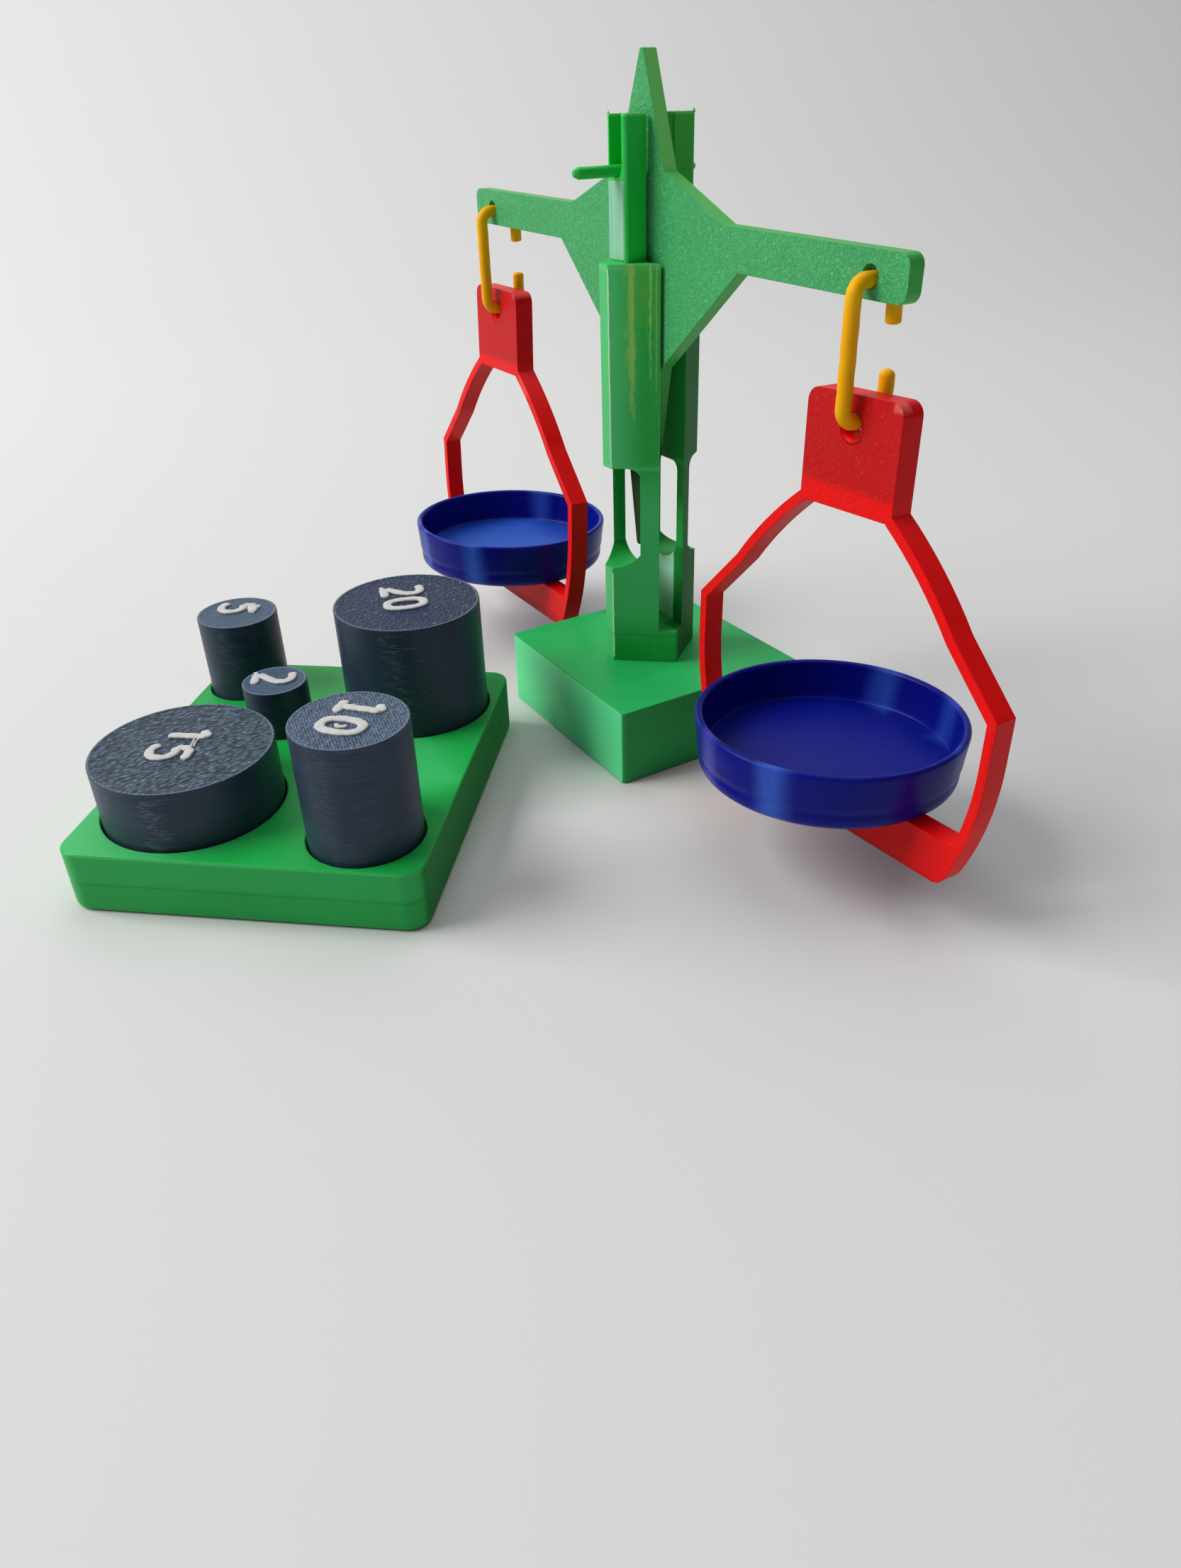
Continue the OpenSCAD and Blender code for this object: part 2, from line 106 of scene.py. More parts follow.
MIDDLE = (0, -0.03, 0.05)
add_lamp("window_lamp", (-0.65, -1.15, 1.15), MIDDLE, 1.0, 27, (1, 0.99, 0.97))
add_lamp("ceiling_lamp", (-0.3, 0.3, 1.6), MIDDLE, 1.4, 9, (0.96, 0.98, 1))

world = bpy.data.worlds.new("room")
bpy.context.scene.world = world
world.use_nodes = True
sky = world.node_tree.nodes["Background"].inputs
sky["Color"].default_value, sky["Strength"].default_value = (0.90, 0.95, 1, 1), 0.16

# %% [markdown]
# A surface is made here as a grid of points. Each function below works out all points of the grid
# at once with numpy, from two parameters, and one helper turns the grid into a mesh. The grid can
# close on itself in either direction, as a ring or a tube does.

# %% From a grid of points to a mesh
def make_piece(name, points, closed_u=False, closed_v=False, caps=()):
    """Mesh of four-sided faces: face (i, j) joins points[i, j] with its next neighbours.

    closed_u and closed_v join the last row or column to the first. caps names the rows, 0 or -1,
    whose points are joined by one flat face."""
    rows, columns = points.shape[:2]
    i, j = np.meshgrid(
        np.arange(rows - (not closed_u)), np.arange(columns - (not closed_v)), indexing="ij")
    i, j = i.ravel(), j.ravel()
    i2, j2 = (i + 1) % rows, (j + 1) % columns
    faces = [i * columns + j, i2 * columns + j, i2 * columns + j2, i * columns + j2]
    faces = np.stack(faces, axis=1).tolist()
    for row in caps:
        ring = (row % rows) * columns + np.arange(columns)
        faces.append((ring if row == 0 else ring[::-1]).tolist())
    mesh = bpy.data.meshes.new(name)
    mesh.from_pydata(points.reshape(-1, 3).tolist(), [], faces)
    merged = bmesh.new()
    merged.from_mesh(mesh)
    bmesh.ops.remove_doubles(merged, verts=merged.verts, dist=1e-7)
    bmesh.ops.recalc_face_normals(merged, faces=merged.faces)
    merged.to_mesh(mesh)
    merged.free()
    mesh.polygons.foreach_set("use_smooth", np.ones(len(mesh.polygons), bool))
    piece = bpy.data.objects.new(name, mesh)
    bpy.context.collection.objects.link(piece)
    print(name, len(mesh.polygons), "faces")
    return piece


def circle(angle):
    """Point of a circle of radius 1 at each angle: (cos, sin)."""
    return np.stack([np.cos(angle), np.sin(angle)], axis=-1)


def lathe(profile, count=192):
    """Grid of a profile (distance from the axis, height) carried round the upright axis.

    x = distance * cos(angle), y = distance * sin(angle), z = height."""
    angle = np.arange(count) * 2 * np.pi / count
    distance, height = np.asarray(profile, float).T[:, :, None]
    return np.stack([
        distance * np.cos(angle), distance * np.sin(angle), height + 0 * angle], axis=-1)


def rounded(points, radius, count=6):
    """Profile with its inner corners replaced by arcs of about that radius.

    Each corner becomes a quadratic curve (1-t)^2 * a + 2t(1-t) * corner + t^2 * b, where a and b lie
    one radius before and after the corner."""
    points = np.asarray(points, float)
    radius = np.broadcast_to(radius, len(points))
    out = [points[:1]]
    t = np.linspace(0, 1, count)[:, None]
    for before, corner, after, r in zip(points[:-2], points[1:-1], points[2:], radius[1:-1]):
        back, ahead = before - corner, after - corner
        a = corner + back * min(r / np.linalg.norm(back), 0.5)
        b = corner + ahead * min(r / np.linalg.norm(ahead), 0.5)
        out.append((1 - t) ** 2 * a + 2 * t * (1 - t) * corner + t ** 2 * b)
    return np.concatenate(out + [points[-1:]])


def moved(points, matrix, place):
    """Every point turned by a 3x3 matrix and then moved: point = matrix * point + place."""
    return points @ np.asarray(matrix).T + np.asarray(place)


print("a ring of 8 points:", lathe([[1, 0], [1, 1]], 8).shape)

# %% [markdown]
# The beam, both hooks, both hangers and both pans hang in a chain, each a little tilted, leaned or
# turned, as in the photograph. The sizes that the chain needs are the same as in the CAD source.

# %% Where the hanging pieces are
SIDES = {1: "right", -1: "left"}
PIN_Z, BEAM_Y, BEAM_TILT, ARM_REACH = 120.6, -1.0, 1.0, 66.0
HOLE_DROP, HOOK_SAG, HOOK_H, HOOK_D, WIRE_R = 11.7, 0.45, 21.9, 9.1, 1.35
LEAN, SWING, TURN = 2.0, {1: 1.3, -1: 0.3}, {1: 2.5, -1: 0.0}
BAR_TOP = -66.55


def turned(x, y, z):
    """Turn about X, then Y, then Z, in degrees: matrix = Rz * Ry * Rx."""
    x, y, z = np.radians([x, y, z])
    (cx, cy, cz), (sx, sy, sz) = np.cos([x, y, z]), np.sin([x, y, z])
    about_x = [[1, 0, 0], [0, cx, -sx], [0, sx, cx]]
    about_y = [[cy, 0, sy], [0, 1, 0], [-sy, 0, cy]]
    about_z = [[cz, -sz, 0], [sz, cz, 0], [0, 0, 1]]
    return np.array(about_z) @ about_y @ about_x


def hook_hole(side):
    """Middle of the wire in the hole at one end of the tilted beam."""
    tilt = np.radians(BEAM_TILT)
    return np.array([
        side * ARM_REACH * np.cos(tilt) - HOLE_DROP * np.sin(tilt), BEAM_Y,
        PIN_Z - side * ARM_REACH * np.sin(tilt) - HOLE_DROP * np.cos(tilt) - HOOK_SAG])


def hung(side):
    """Turn and place of everything that hangs from the lower bar of a hook."""
    return turned(-LEAN, -side * SWING[side], TURN[side]), hook_hole(side) - [0, 0, HOOK_H]


print("hook holes at", hook_hole(1).round(2), hook_hole(-1).round(2))

# %% [markdown]
# A pan is a shallow round cup. The printer drew it ring by ring, so its wall is thin and even, its
# rim is round, and a few rings low on the outside were drawn a little further in, which leaves a
# soft step all the way round. It is one profile carried round an axis. A faint bead runs where the
# floor meets the wall, as the printer leaves one there.

# %% Pans
PAN_R, PAN_H, PAN_WALL, PAN_FLOOR, PAN_INSET, PAN_GAP = 26.2, 11.7, 1.5, 3.6, 1.2, 0.05


def pan_profile():
    """(distance, height) from the middle of the underside, up the outside, over the rim and in."""
    def wall(height):
        return PAN_R - PAN_INSET * (PAN_H - height) / PAN_H
    rim_r = PAN_WALL / 2
    rim_z = PAN_H - rim_r
    rim = np.array([wall(rim_z) - rim_r, rim_z]) + rim_r * circle(np.linspace(0, np.pi, 13))
    outside = rounded([
        [0, 0], [wall(0) - 1.2, 0], [wall(1.2) - 0.03, 1.2], [wall(2.7) + 0.03, 2.7],
        [wall(3.7) - 0.33, 3.6], [wall(4.8) + 0.08, 4.9], [wall(6.5), 6.6], [wall(10.9), 10.9]],
        [0, 0.8, 0.7, 0.5, 0.5, 0.6, 0.8, 0])
    foot_r = wall(4) - PAN_WALL
    inside = rounded([
        [wall(rim_z) - PAN_WALL, rim_z - 0.05], [wall(5) - PAN_WALL - 0.05, 4.5],
        [foot_r - 0.2, PAN_FLOOR + 0.07], [foot_r - 0.9, PAN_FLOOR + 0.06],
        [foot_r - 1.5, PAN_FLOOR], [12, PAN_FLOOR], [0, PAN_FLOOR]], 0.4)
    return np.concatenate([outside[:-1], rim, inside])


pans = {}
for side, word in SIDES.items():
    grid = moved(lathe(pan_profile(), 256) + [0, 0, BAR_TOP + PAN_GAP], *hung(side))
    pan = make_piece("pan_" + word + "_shell", grid * MM, closed_v=True)
    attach(pan, "pan_" + word)
    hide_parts("pan_" + word)
    pans[side] = pan

# %% [markdown]
# A hook is one round strand that runs out of the hole, down in front and back through the plate,
# with two short stubs behind. A circle carried along a path makes it. The path has straight runs
# and quarter bends, and the radius shrinks as a quarter ellipse at both ends, which rounds them.

# %% Hooks
def along(path, radii, count=20):
    """Grid of circles set across a path that lies in one upright plane.

    Each ring is centre + radius * (cos(angle) * across + sin(angle) * sideways), where sideways is
    square to the plane and across is square to both the path and sideways."""
    sideways = np.array([1.0, 0, 0])
    across = np.cross(sideways, unit(np.gradient(path, axis=0)))
    angle = (np.arange(count) * 2 * np.pi / count)[None, :, None]
    ring = np.cos(angle) * across[:, None] + np.sin(angle) * sideways
    return path[:, None] + np.asarray(radii)[:, None, None] * ring


def hook_path(bend=2.4, top_stub=7.3, low_stub=7.7):
    """Middle of the wire, from the end of the upper stub to the end of the lower one."""
    half = HOOK_D / 2
    quarter = bend * circle(np.linspace(0, np.pi / 2, 12))
    top, low = HOOK_H - bend, bend
    bends = [
        np.array([half - bend, top]) + quarter,
        np.array([-half + bend, top]) + quarter[::-1] * [-1, 1],
        np.array([-half + bend, low]) + quarter * [-1, -1],
        np.array([half - bend, low]) + quarter[::-1] * [1, -1],
    ]
    start, end = [half, HOOK_H - top_stub], [half, low_stub]
    runs = [np.linspace(start, bends[0][0], 9)[:-1], bends[0]]
    for before, after, count in zip(bends, bends[1:], (5, 15, 5)):
        runs += [np.linspace(before[-1], after[0], count)[1:-1], after]
    flat = np.concatenate([*runs, np.linspace(bends[-1][-1], end, 9)[1:]])
    return np.column_stack([np.zeros(len(flat)), flat])


def end_caps(path, radius, top_round, low_round, count=7):
    """Path and radii with a rounded end at both sides: the radius falls as a quarter ellipse."""
    fall = np.linspace(0, np.pi / 2, count)
    inward = (1 - np.sin(fall))[:, None]
    lead = path[0] + unit(path[1] - path[0]) * top_round * inward[::-1]
    tail = path[-1] + unit(path[-2] - path[-1]) * low_round * inward
    past_lead = np.linalg.norm(path - path[0], axis=1) > top_round
    before_tail = np.linalg.norm(path - path[-1], axis=1) > low_round
    middle = path[past_lead & before_tail]
    ends = radius * np.cos(fall)
    radii = np.concatenate([ends[::-1], np.full(len(middle), radius), ends])
    return np.concatenate([lead, middle, tail]), radii


TOP_ROUND, LOW_ROUND = 0.5, {1: 1.1, -1: 0.6}
hooks = {}
for side, word in SIDES.items():
    path, radii = end_caps(hook_path(), WIRE_R, TOP_ROUND, LOW_ROUND[side])
    wave = 0.05 * np.sin(path[:, 2:3] * 1.3 + side) * [1, 0, 0]  # no strand is quite straight
    grid = along(path, radii) + wave[:, None] + hook_hole(side) - [0, 0, HOOK_H]
    hook = make_piece("hook_" + word + "_wire", grid * MM, closed_v=True)
    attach(hook, "hook_" + word)
    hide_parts("hook_" + word)
    hooks[side] = hook

# %% [markdown]
# The weights are solid-looking cylinders that stand in round pockets. Their sides carry fine layer
# rings and their upper edge a slight raised ring, where the outermost line of the last layer was
# drawn. Each is one profile again.

# %% Weights
TRAY_TURN, TRAY_PLACE, POCKET_FLOOR = 51.4, np.array([-4.9, -85.7, 0]), 6.55
TRAY_MATRIX = turned(0, 0, TRAY_TURN)
WEIGHTS = {
    "2": ([-10.4, 11.7], 7.1, 17.9), "5": ([-25.9, 31.2], 9.1, 25.3),
    "10": ([22.1, -28.8], 11.2, 31.7), "15": ([-16.4, -21.0], 17.9, 19.6),
    "20": ([18.1, 24.1], 16.1, 32.4),
}  # place from the middle of the tray, radius and height


def weight_foot(number):
    """Middle of the underside of a weight."""
    return moved(np.array([*WEIGHTS[number][0], POCKET_FLOOR]), TRAY_MATRIX, TRAY_PLACE)


def weight_profile(radius, height):
    """(distance, height) from the middle of the underside, up the side and in over the top."""
    side = np.linspace(0.6, height - 0.5, 40)
    wall = np.stack([radius - 0.015 * (1 + np.sin(side * 3.1)), side], axis=1)
    top = rounded([
        [radius, height - 0.4], [radius - 0.05, height], [radius - 0.55, height],
        [radius - 0.75, height - 0.10], [radius * 0.6, height - 0.12], [0, height - 0.12]], 0.15)
    foot = rounded([[0, 0], [radius - 0.4, 0], [radius - 0.02, 0.4], [radius - 0.02, 0.7]], 0.2)
    return np.concatenate([foot[:-1], wall, top])


weights = {}
for number, (_, radius, height) in WEIGHTS.items():
    grid = lathe(weight_profile(radius, height)) + weight_foot(number)
    weight = make_piece("weight_" + number + "_body", grid * MM, closed_v=True)
    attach(weight, "weight_" + number)
    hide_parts("weight_" + number)
    weights[number] = weight

# %% [markdown]
# The numbers on the weights were drawn by hand with melted plastic, so each stroke is a round-edged
# bead that stands proud of the top. A stroke is a line of points through which a smooth curve runs,
# with a low dome as its section. The same digit serves more than one weight, turned and placed as
# the photograph shows. Melted plastic pulls threads, so a few thin strokes stand for them.

# %% Numbers
def smooth_line(points, count=14):
    """Catmull-Rom curve through the points: each span is a cubic set by its ends and their neighbours."""
    p = np.asarray(points, float)
    p = np.concatenate([2 * p[:1] - p[1:2], p, 2 * p[-1:] - p[-2:-1]])
    t = np.linspace(0, 1, count, endpoint=False)[None, :, None]
    a, b, c, d = (p[k:len(p) - 3 + k, None] for k in range(4))
    curve = 0.5 * (2 * b + (c - a) * t + (2 * a - 5 * b + 4 * c - d) * t ** 2
                   + (3 * b - a - 3 * c + d) * t ** 3)
    return np.concatenate([curve.reshape(-1, 2), p[-2:-1]])


def bead(line, width, height, closed=False, count=17):
    """Grid of low domes set across a flat line.

    Each section runs from one foot to the other: across = -cos(angle) * width / 2 and
    up = sin(angle)^0.3 * height. At open ends the section shrinks as a quarter circle, and two slow
    waves along the line swell it by a few percent, as a hand does."""
    step = np.gradient(line, axis=0)
    if closed:
        step = np.roll(line, -1, axis=0) - np.roll(line, 1, axis=0)
    step = unit(step)
    normal = np.stack([-step[:, 1], step[:, 0]], axis=1)
    length = np.concatenate([[0], np.cumsum(np.linalg.norm(np.diff(line, axis=0), axis=1))])
    near_end = np.clip(np.minimum(length, length[-1] - length) / (width / 2), 0, 1)
    size = 1 if closed else np.sqrt(np.clip(1 - (1 - near_end) ** 2, 0.0004, 1))
    size = size * (1 + 0.05 * np.sin(length * 2.3) + 0.03 * np.sin(length * 5.1 + 1))
    angle = np.linspace(0, np.pi, count)
    across = -np.cos(angle) * width / 2
    up = np.sin(angle) ** 0.3 * height
    flat = line[:, None] + size[:, None, None] * across[None, :, None] * normal[:, None]
    tall = (0.35 + 0.65 * size[:, None]) * up[None] * (size[:, None] > 0.03)
    return np.concatenate([flat, tall[:, :, None]], axis=2)


def ring_line(half_width, half_height, count=72):
    """Rounded ring: x = width * sign(cos) * |cos|^0.8, y = height * sign(sin) * |sin|^0.85."""
    way = circle(np.arange(count) * 2 * np.pi / count)
    return [half_width, half_height] * np.sign(way) * np.abs(way) ** [0.8, 0.85]


DIGITS = {
    "0": [("ring", (2.4, 4.05))],
    "0_smear": [("ring", (2.4, 4.05)), ("smear", [[-0.5, -1.3], [0.3, -0.6], [0.2, 0.4], [-0.4, 1.0]])],
    "1": [("line", [[0.1, 4.3], [0, 2], [0, -1], [0.05, -4.0]]),
          ("line", [[0.2, 4.4], [-0.9, 3.8], [-2.3, 2.5]])],
    "1_foot": [("line", [[0.1, 4.3], [0, 2], [0, -1], [0, -3.9]]),
               ("line", [[0.2, 4.4], [-0.9, 3.9], [-2.4, 2.9]]),
               ("line", [[-2.3, -3.9], [0, -4.05], [2.3, -3.8]])],
    "2": [("line", [[-2.2, 3.5], [-1.0, 4.1], [0.6, 4.05], [1.8, 3.2], [2.0, 1.9], [1.3, 0.2],
                    [-0.5, -1.7], [-2.3, -3.6]]),
          ("line", [[-2.5, -3.95], [-0.8, -4.0], [0.8, -3.95], [2.4, -3.9]]),
          ("smear", [[-2.3, -3.7], [-3.0, -4.3], [-3.6, -4.6]])],
    "5": [("line", [[2.5, 4.0], [0.6, 3.9], [-1.7, 3.7]]),
          ("line", [[-1.7, 3.9], [-1.8, 2.2], [-1.9, 0.5]]),
          ("line", [[-1.9, 0.5], [-0.2, 1.1], [1.5, 0.5], [2.3, -1.2], [1.8, -3.1], [0.2, -4.05],
                    [-1.4, -3.9], [-2.6, -2.9]])],
    "5_blot": [("line", [[-1.5, 3.0], [-0.3, 3.1], [1.0, 3.4]]),
               ("smear", [[-1.9, 3.9], [-1.2, 4.6], [-0.2, 4.5]]),
               ("thread", [[1.8, 4.1], [2.6, 4.7]]), ("thread", [[0.2, 4.1], [0.5, 4.9]])],
    "pull": [("thread", [[-3.3, 3.4], [-1.6, 3.1], [0.2, 3.5]]),
             ("thread", [[-3.2, 2.2], [-1.3, 2.6], [0.6, 2.9]])],
}
STROKES = {"line": (1.9, 0.58), "ring": (1.9, 0.58), "smear": (0.9, 0.45), "thread": (0.42, 0.35)}
BEAD_SUNK = 0.18
ACROSS_PAGE, UP_PAGE = np.array([0.867, -0.498]), np.array([0.498, 0.867])
NUMBERS = {
    "2": [(-21.6, -86.5), 4, [("2", (0.0, 0.1))]],
    "5": [(-47.0, -86.2), -6, [("5", (-0.9, 0.2)), ("5_blot", (-0.9, 0.2))]],
    "10": [(31.0, -86.1), -18, [("1_foot", (-3.75, 0.3)), ("0_smear", (3.0, 0.0))]],
    "15": [(0.3, -112.2), -8, [("1", (-3.6, 0.4)), ("5", (2.9, -0.3)), ("pull", (0.0, 0.0))]],
    "20": [(-15.1, -56.1), 14, [("2", (-3.2, 0.0)), ("0", (4.2, 0.0))]],
}

numbers = []
for number, (centre, turn_deg, signs) in NUMBERS.items():
    c, s = circle(np.radians(turn_deg))
    axis_u, axis_v = ACROSS_PAGE * c + UP_PAGE * s, UP_PAGE * c - ACROSS_PAGE * s
    top = POCKET_FLOOR + WEIGHTS[number][2] - BEAD_SUNK
    for place_no, (sign, shift) in enumerate(signs):
        for stroke_no, (kind, data) in enumerate(DIGITS[sign]):
            closed = kind == "ring"
            line = ring_line(*data) if closed else smooth_line(data)
            grid = bead(line + shift, *STROKES[kind], closed)
            flat = centre + grid[..., :1] * axis_u + grid[..., 1:2] * axis_v
            grid = np.concatenate([flat, grid[..., 2:] + top], axis=-1)
            name = "number_%s_%d_%d" % (number, place_no, stroke_no)
            stroke = make_piece(name, grid * MM, closed_u=closed, closed_v=True)
            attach(stroke, "weight_" + number)
            numbers.append(stroke)
print(len(numbers), "strokes")

# %% [markdown]
# The tray is a slab with round pockets. Its lower half is the plain part under the pockets, and its
# lowest edge is round, because the first layer is drawn a little inside. A rounded rectangle is
# carried down a short profile for it: the profile says how far each ring lies inside the outline.
# Its rim stands up a little behind the softened edge of the upper half, so that only a shallow
# line shows where the two halves meet.

# %% Lower half of the tray
def rounded_outline(width, depth, radius, count=12):
    """Directions and middles of the four corner arcs: point = middle + (radius - inset) * direction."""
    angle = np.concatenate([np.linspace(k, k + 1, count) for k in range(4)]) * np.pi / 2
    sign = np.repeat([[1, 1], [-1, 1], [-1, -1], [1, -1]], count, axis=0)
    return circle(angle), sign * [width / 2 - radius, depth / 2 - radius]


def slab(profile, width, depth, radius):
    """Grid of rounded rectangles, one for each (inset, height) of the profile."""
    direction, middle = rounded_outline(width, depth, radius)
    inset, height = np.asarray(profile, float).T[:, :, None]
    flat = middle + (radius - inset)[..., None] * direction
    return np.concatenate([flat, np.broadcast_to(height[..., None], flat.shape[:2] + (1,))], axis=-1)


TRAY_W, TRAY_D, TRAY_CORNER, TRAY_SPLIT = 72.4, 83.3, 4.5, 6.5
foot = rounded([[2, 0], [1.0, 0], [0.25, 0.35], [0.0, 1.3], [0, 3]], [0, 0.7, 0.5, 0.5, 0])
rim = [[0.0, 6.1], [0.04, 6.3], [0.09, TRAY_SPLIT], [0.10, 6.9], [0.6, 6.9], [0.65, TRAY_SPLIT],
       [2, TRAY_SPLIT]]
grid = slab(np.concatenate([foot, rim]), TRAY_W, TRAY_D, TRAY_CORNER)
grid = moved(grid, TRAY_MATRIX, TRAY_PLACE) * MM
tray_low = make_piece("tray_lower_half", grid, closed_v=True, caps=(0, -1))
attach(tray_low, "tray")
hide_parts("tray_floor")
tray_low.modifiers.new("weighted_normals", "WEIGHTED_NORMAL")

# %% [markdown]
# The flat plates, the column, the base and the pocket layer keep their CAD solids, because their
# outlines are right. Real prints have no knife edges, so modifiers soften them: the loose triangles
# are welded, flat areas are joined, each edge gets a small bevel, and weighted normals keep the
# flats flat.

# %% Soft edges on the CAD solids
def soften(node, width, angle=28):
    """Weld, join flat areas, bevel every edge sharper than the angle, and weight the normals by area."""
    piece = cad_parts[node]
    weld = piece.modifiers.new("weld", "WELD")
    weld.merge_threshold = 2e-6
    flat = piece.modifiers.new("flat_areas", "DECIMATE")
    flat.decimate_type = "DISSOLVE"
    flat.angle_limit = np.radians(0.4)
    edge = piece.modifiers.new("soft_edge", "BEVEL")
    edge.width = width * MM
    edge.segments = 3
    edge.limit_method = "ANGLE"
    edge.angle_limit = np.radians(angle)
    edge.use_clamp_overlap = True
    normals = piece.modifiers.new("weighted_normals", "WEIGHTED_NORMAL")
    normals.keep_sharp = False
    print(node, "softened by", width, "mm")


EDGES = {"base": 0.45, "column": 0.45, "pivot_pin": 0.2, "beam": 0.6, "hanger_left": 0.65,
         "hanger_right": 0.7, "weight_tray": 0.45}
for node, width in EDGES.items():
    soften(node, width)

# %% [markdown]
# A small printed hole never comes out as round or as wide as it was drawn: the plastic sags, and a
# lip forms low on its far side. Each hanger gets such a lip inside its hole. It is a ring whose
# outer wall lies in the plate and whose inner wall is a smaller circle, set off towards the wire.

# %% Lips in the hanger holes
HOLE_R, LIP_R, LIP_SHIFT = 2.7, 2.25, np.array([-0.45, 0.48])
WIRE_GAP = 0.2


def hole_lip(count=72):
    """Ring of seven-point sections. The inner wall at an angle is shift + radius * (cos, sin)."""
    way = circle(np.arange(count) * 2 * np.pi / count)
    outer, inner = way * (HOLE_R + 0.04), LIP_SHIFT + way * LIP_R
    middle = (outer + inner) / 2
    section = [(outer, 2.2), (middle, 2.18), (inner, 2.0), (inner, 0.0), (inner, -2.0),
               (middle, -2.18), (outer, -2.2)]
    rows = [[flat[:, 0], np.full(count, depth), flat[:, 1]] for flat, depth in section]
    return np.stack(rows).transpose(0, 2, 1)


lips = {}
for side, word in SIDES.items():
    grid = moved(hole_lip() + [0, 0, WIRE_R + WIRE_GAP - HOLE_R], *hung(side)) * MM
    lip = make_piece("hanger_" + word + "_hole_lip", grid, closed_u=True, closed_v=True)
    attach(lip, "hanger_" + word)
    lips[side] = lip

# %% [markdown]
# When the nozzle left the tops of the two uprights, it pulled short wisps at their corners. A wisp
# is a thin cone with a bent tip, made as a profile carried round an axis and then leaned over.

# %% Wisps on the uprights
BASE_H, COLUMN_H, UPRIGHT_H = 18, 86.5, 25.6
WISPS = [(-2.9, -7.9, 0.55, -0.3), (-2.8, 3.6, 0.4, 0.3), (2.9, 7.9, 0.55, 0.2)]
wisps = []
for wisp_no, (x, y, tall, lean) in enumerate(WISPS):
    grid = lathe([[0.0, -0.3], [0.3, -0.3], [0.28, 0.0], [0.17, 0.4 * tall], [0.08, 0.8 * tall],
                  [0.0, tall]], 16)
    grid[..., 0] += lean * np.clip(grid[..., 2], 0, None) ** 2
    grid = grid + [x, y, BASE_H + COLUMN_H + UPRIGHT_H]
    wisp = make_piece("upright_wisp_%d" % wisp_no, grid * MM, closed_v=True)
    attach(wisp, "stand")
    wisps.append(wisp)
print(len(wisps), "wisps")

# %% [markdown]
# Every finish below is made of the same few effects, so each is a node group: lines that a printer's
# nozzle leaves, a grainy skin, slow patches of tone, a mask for the faces that look along an axis,
# and a mask for a small region of a piece. A group gives out only values. The material mixes them
# into colour, roughness and bump.

# %% Helpers for node trees
def feed(tree, value, socket):
    """Gives a socket its value: a link from another socket, or else the value itself."""
    if isinstance(value, bpy.types.NodeSocket):
        tree.links.new(value, socket)
    else:
        socket.default_value = value


def calc(tree, operation, *values, clamp=False):
    """Math node on sockets or plain numbers; returns its output."""
    made = tree.nodes.new("ShaderNodeMath")
    made.operation, made.use_clamp = operation, clamp
    for value, socket in zip(values, made.inputs):
        feed(tree, value, socket)
    return made.outputs[0]


def times(tree, first, second, clamp=False):
    """One value times another."""
    return calc(tree, "MULTIPLY", first, second, clamp=clamp)


def vector(tree, operation, *values):
    """Vector Math node; returns its vector, or its value for a dot product."""
    made = tree.nodes.new("ShaderNodeVectorMath")
    made.operation = operation
    for value, socket in zip(values, made.inputs):
        feed(tree, value, socket)
    return made.outputs["Value" if operation == "DOT_PRODUCT" else "Vector"]


def ramp(tree, value, low, high, out_low=0.0, out_high=1.0):
    """Value carried smoothly from out_low at low to out_high at high, and level beyond them."""
    made = tree.nodes.new("ShaderNodeMapRange")
    made.interpolation_type = "SMOOTHSTEP"
    for socket, wanted in zip(made.inputs, (value, low, high, out_low, out_high)):
        feed(tree, wanted, socket)
    return made.outputs["Result"]


def noise(tree, position, size, detail=2.0, rough=0.5, output="Fac"):
    """Noise whose largest patches are about as wide as size."""
    made = tree.nodes.new("ShaderNodeTexNoise")
    for key, value in dict(Vector=position, Scale=1 / size, Detail=detail, Roughness=rough).items():
        feed(tree, value, made.inputs[key])
    return made.outputs[output]


def new_group(name, inputs, outputs):
    """Empty node group that gives out floats. An input of None is a vector that is always linked."""
    group = bpy.data.node_groups.new(name, "ShaderNodeTree")
    for key, value in inputs.items():
        kind = "NodeSocketFloat" if isinstance(value, float) else "NodeSocketVector"
        made = group.interface.new_socket(key, in_out="INPUT", socket_type=kind)
        if value is not None:
            made.default_value = value
    for key in outputs:
        group.interface.new_socket(key, in_out="OUTPUT", socket_type="NodeSocketFloat")
    return group, group.nodes.new("NodeGroupInput").outputs, group.nodes.new("NodeGroupOutput").inputs


def use(tree, group, **values):
    """Places a node group with its values, and returns its outputs."""
    made = tree.nodes.new("ShaderNodeGroup")
    made.node_tree = group
    for key, value in values.items():
        feed(tree, value, made.inputs[key])
    return made.outputs


print("node helpers ready")

# %% [markdown]
# Nozzle lines are a sine wave across one direction, and a slow noise makes them waver a little. The
# count of the wave also gives each line its own random tone.

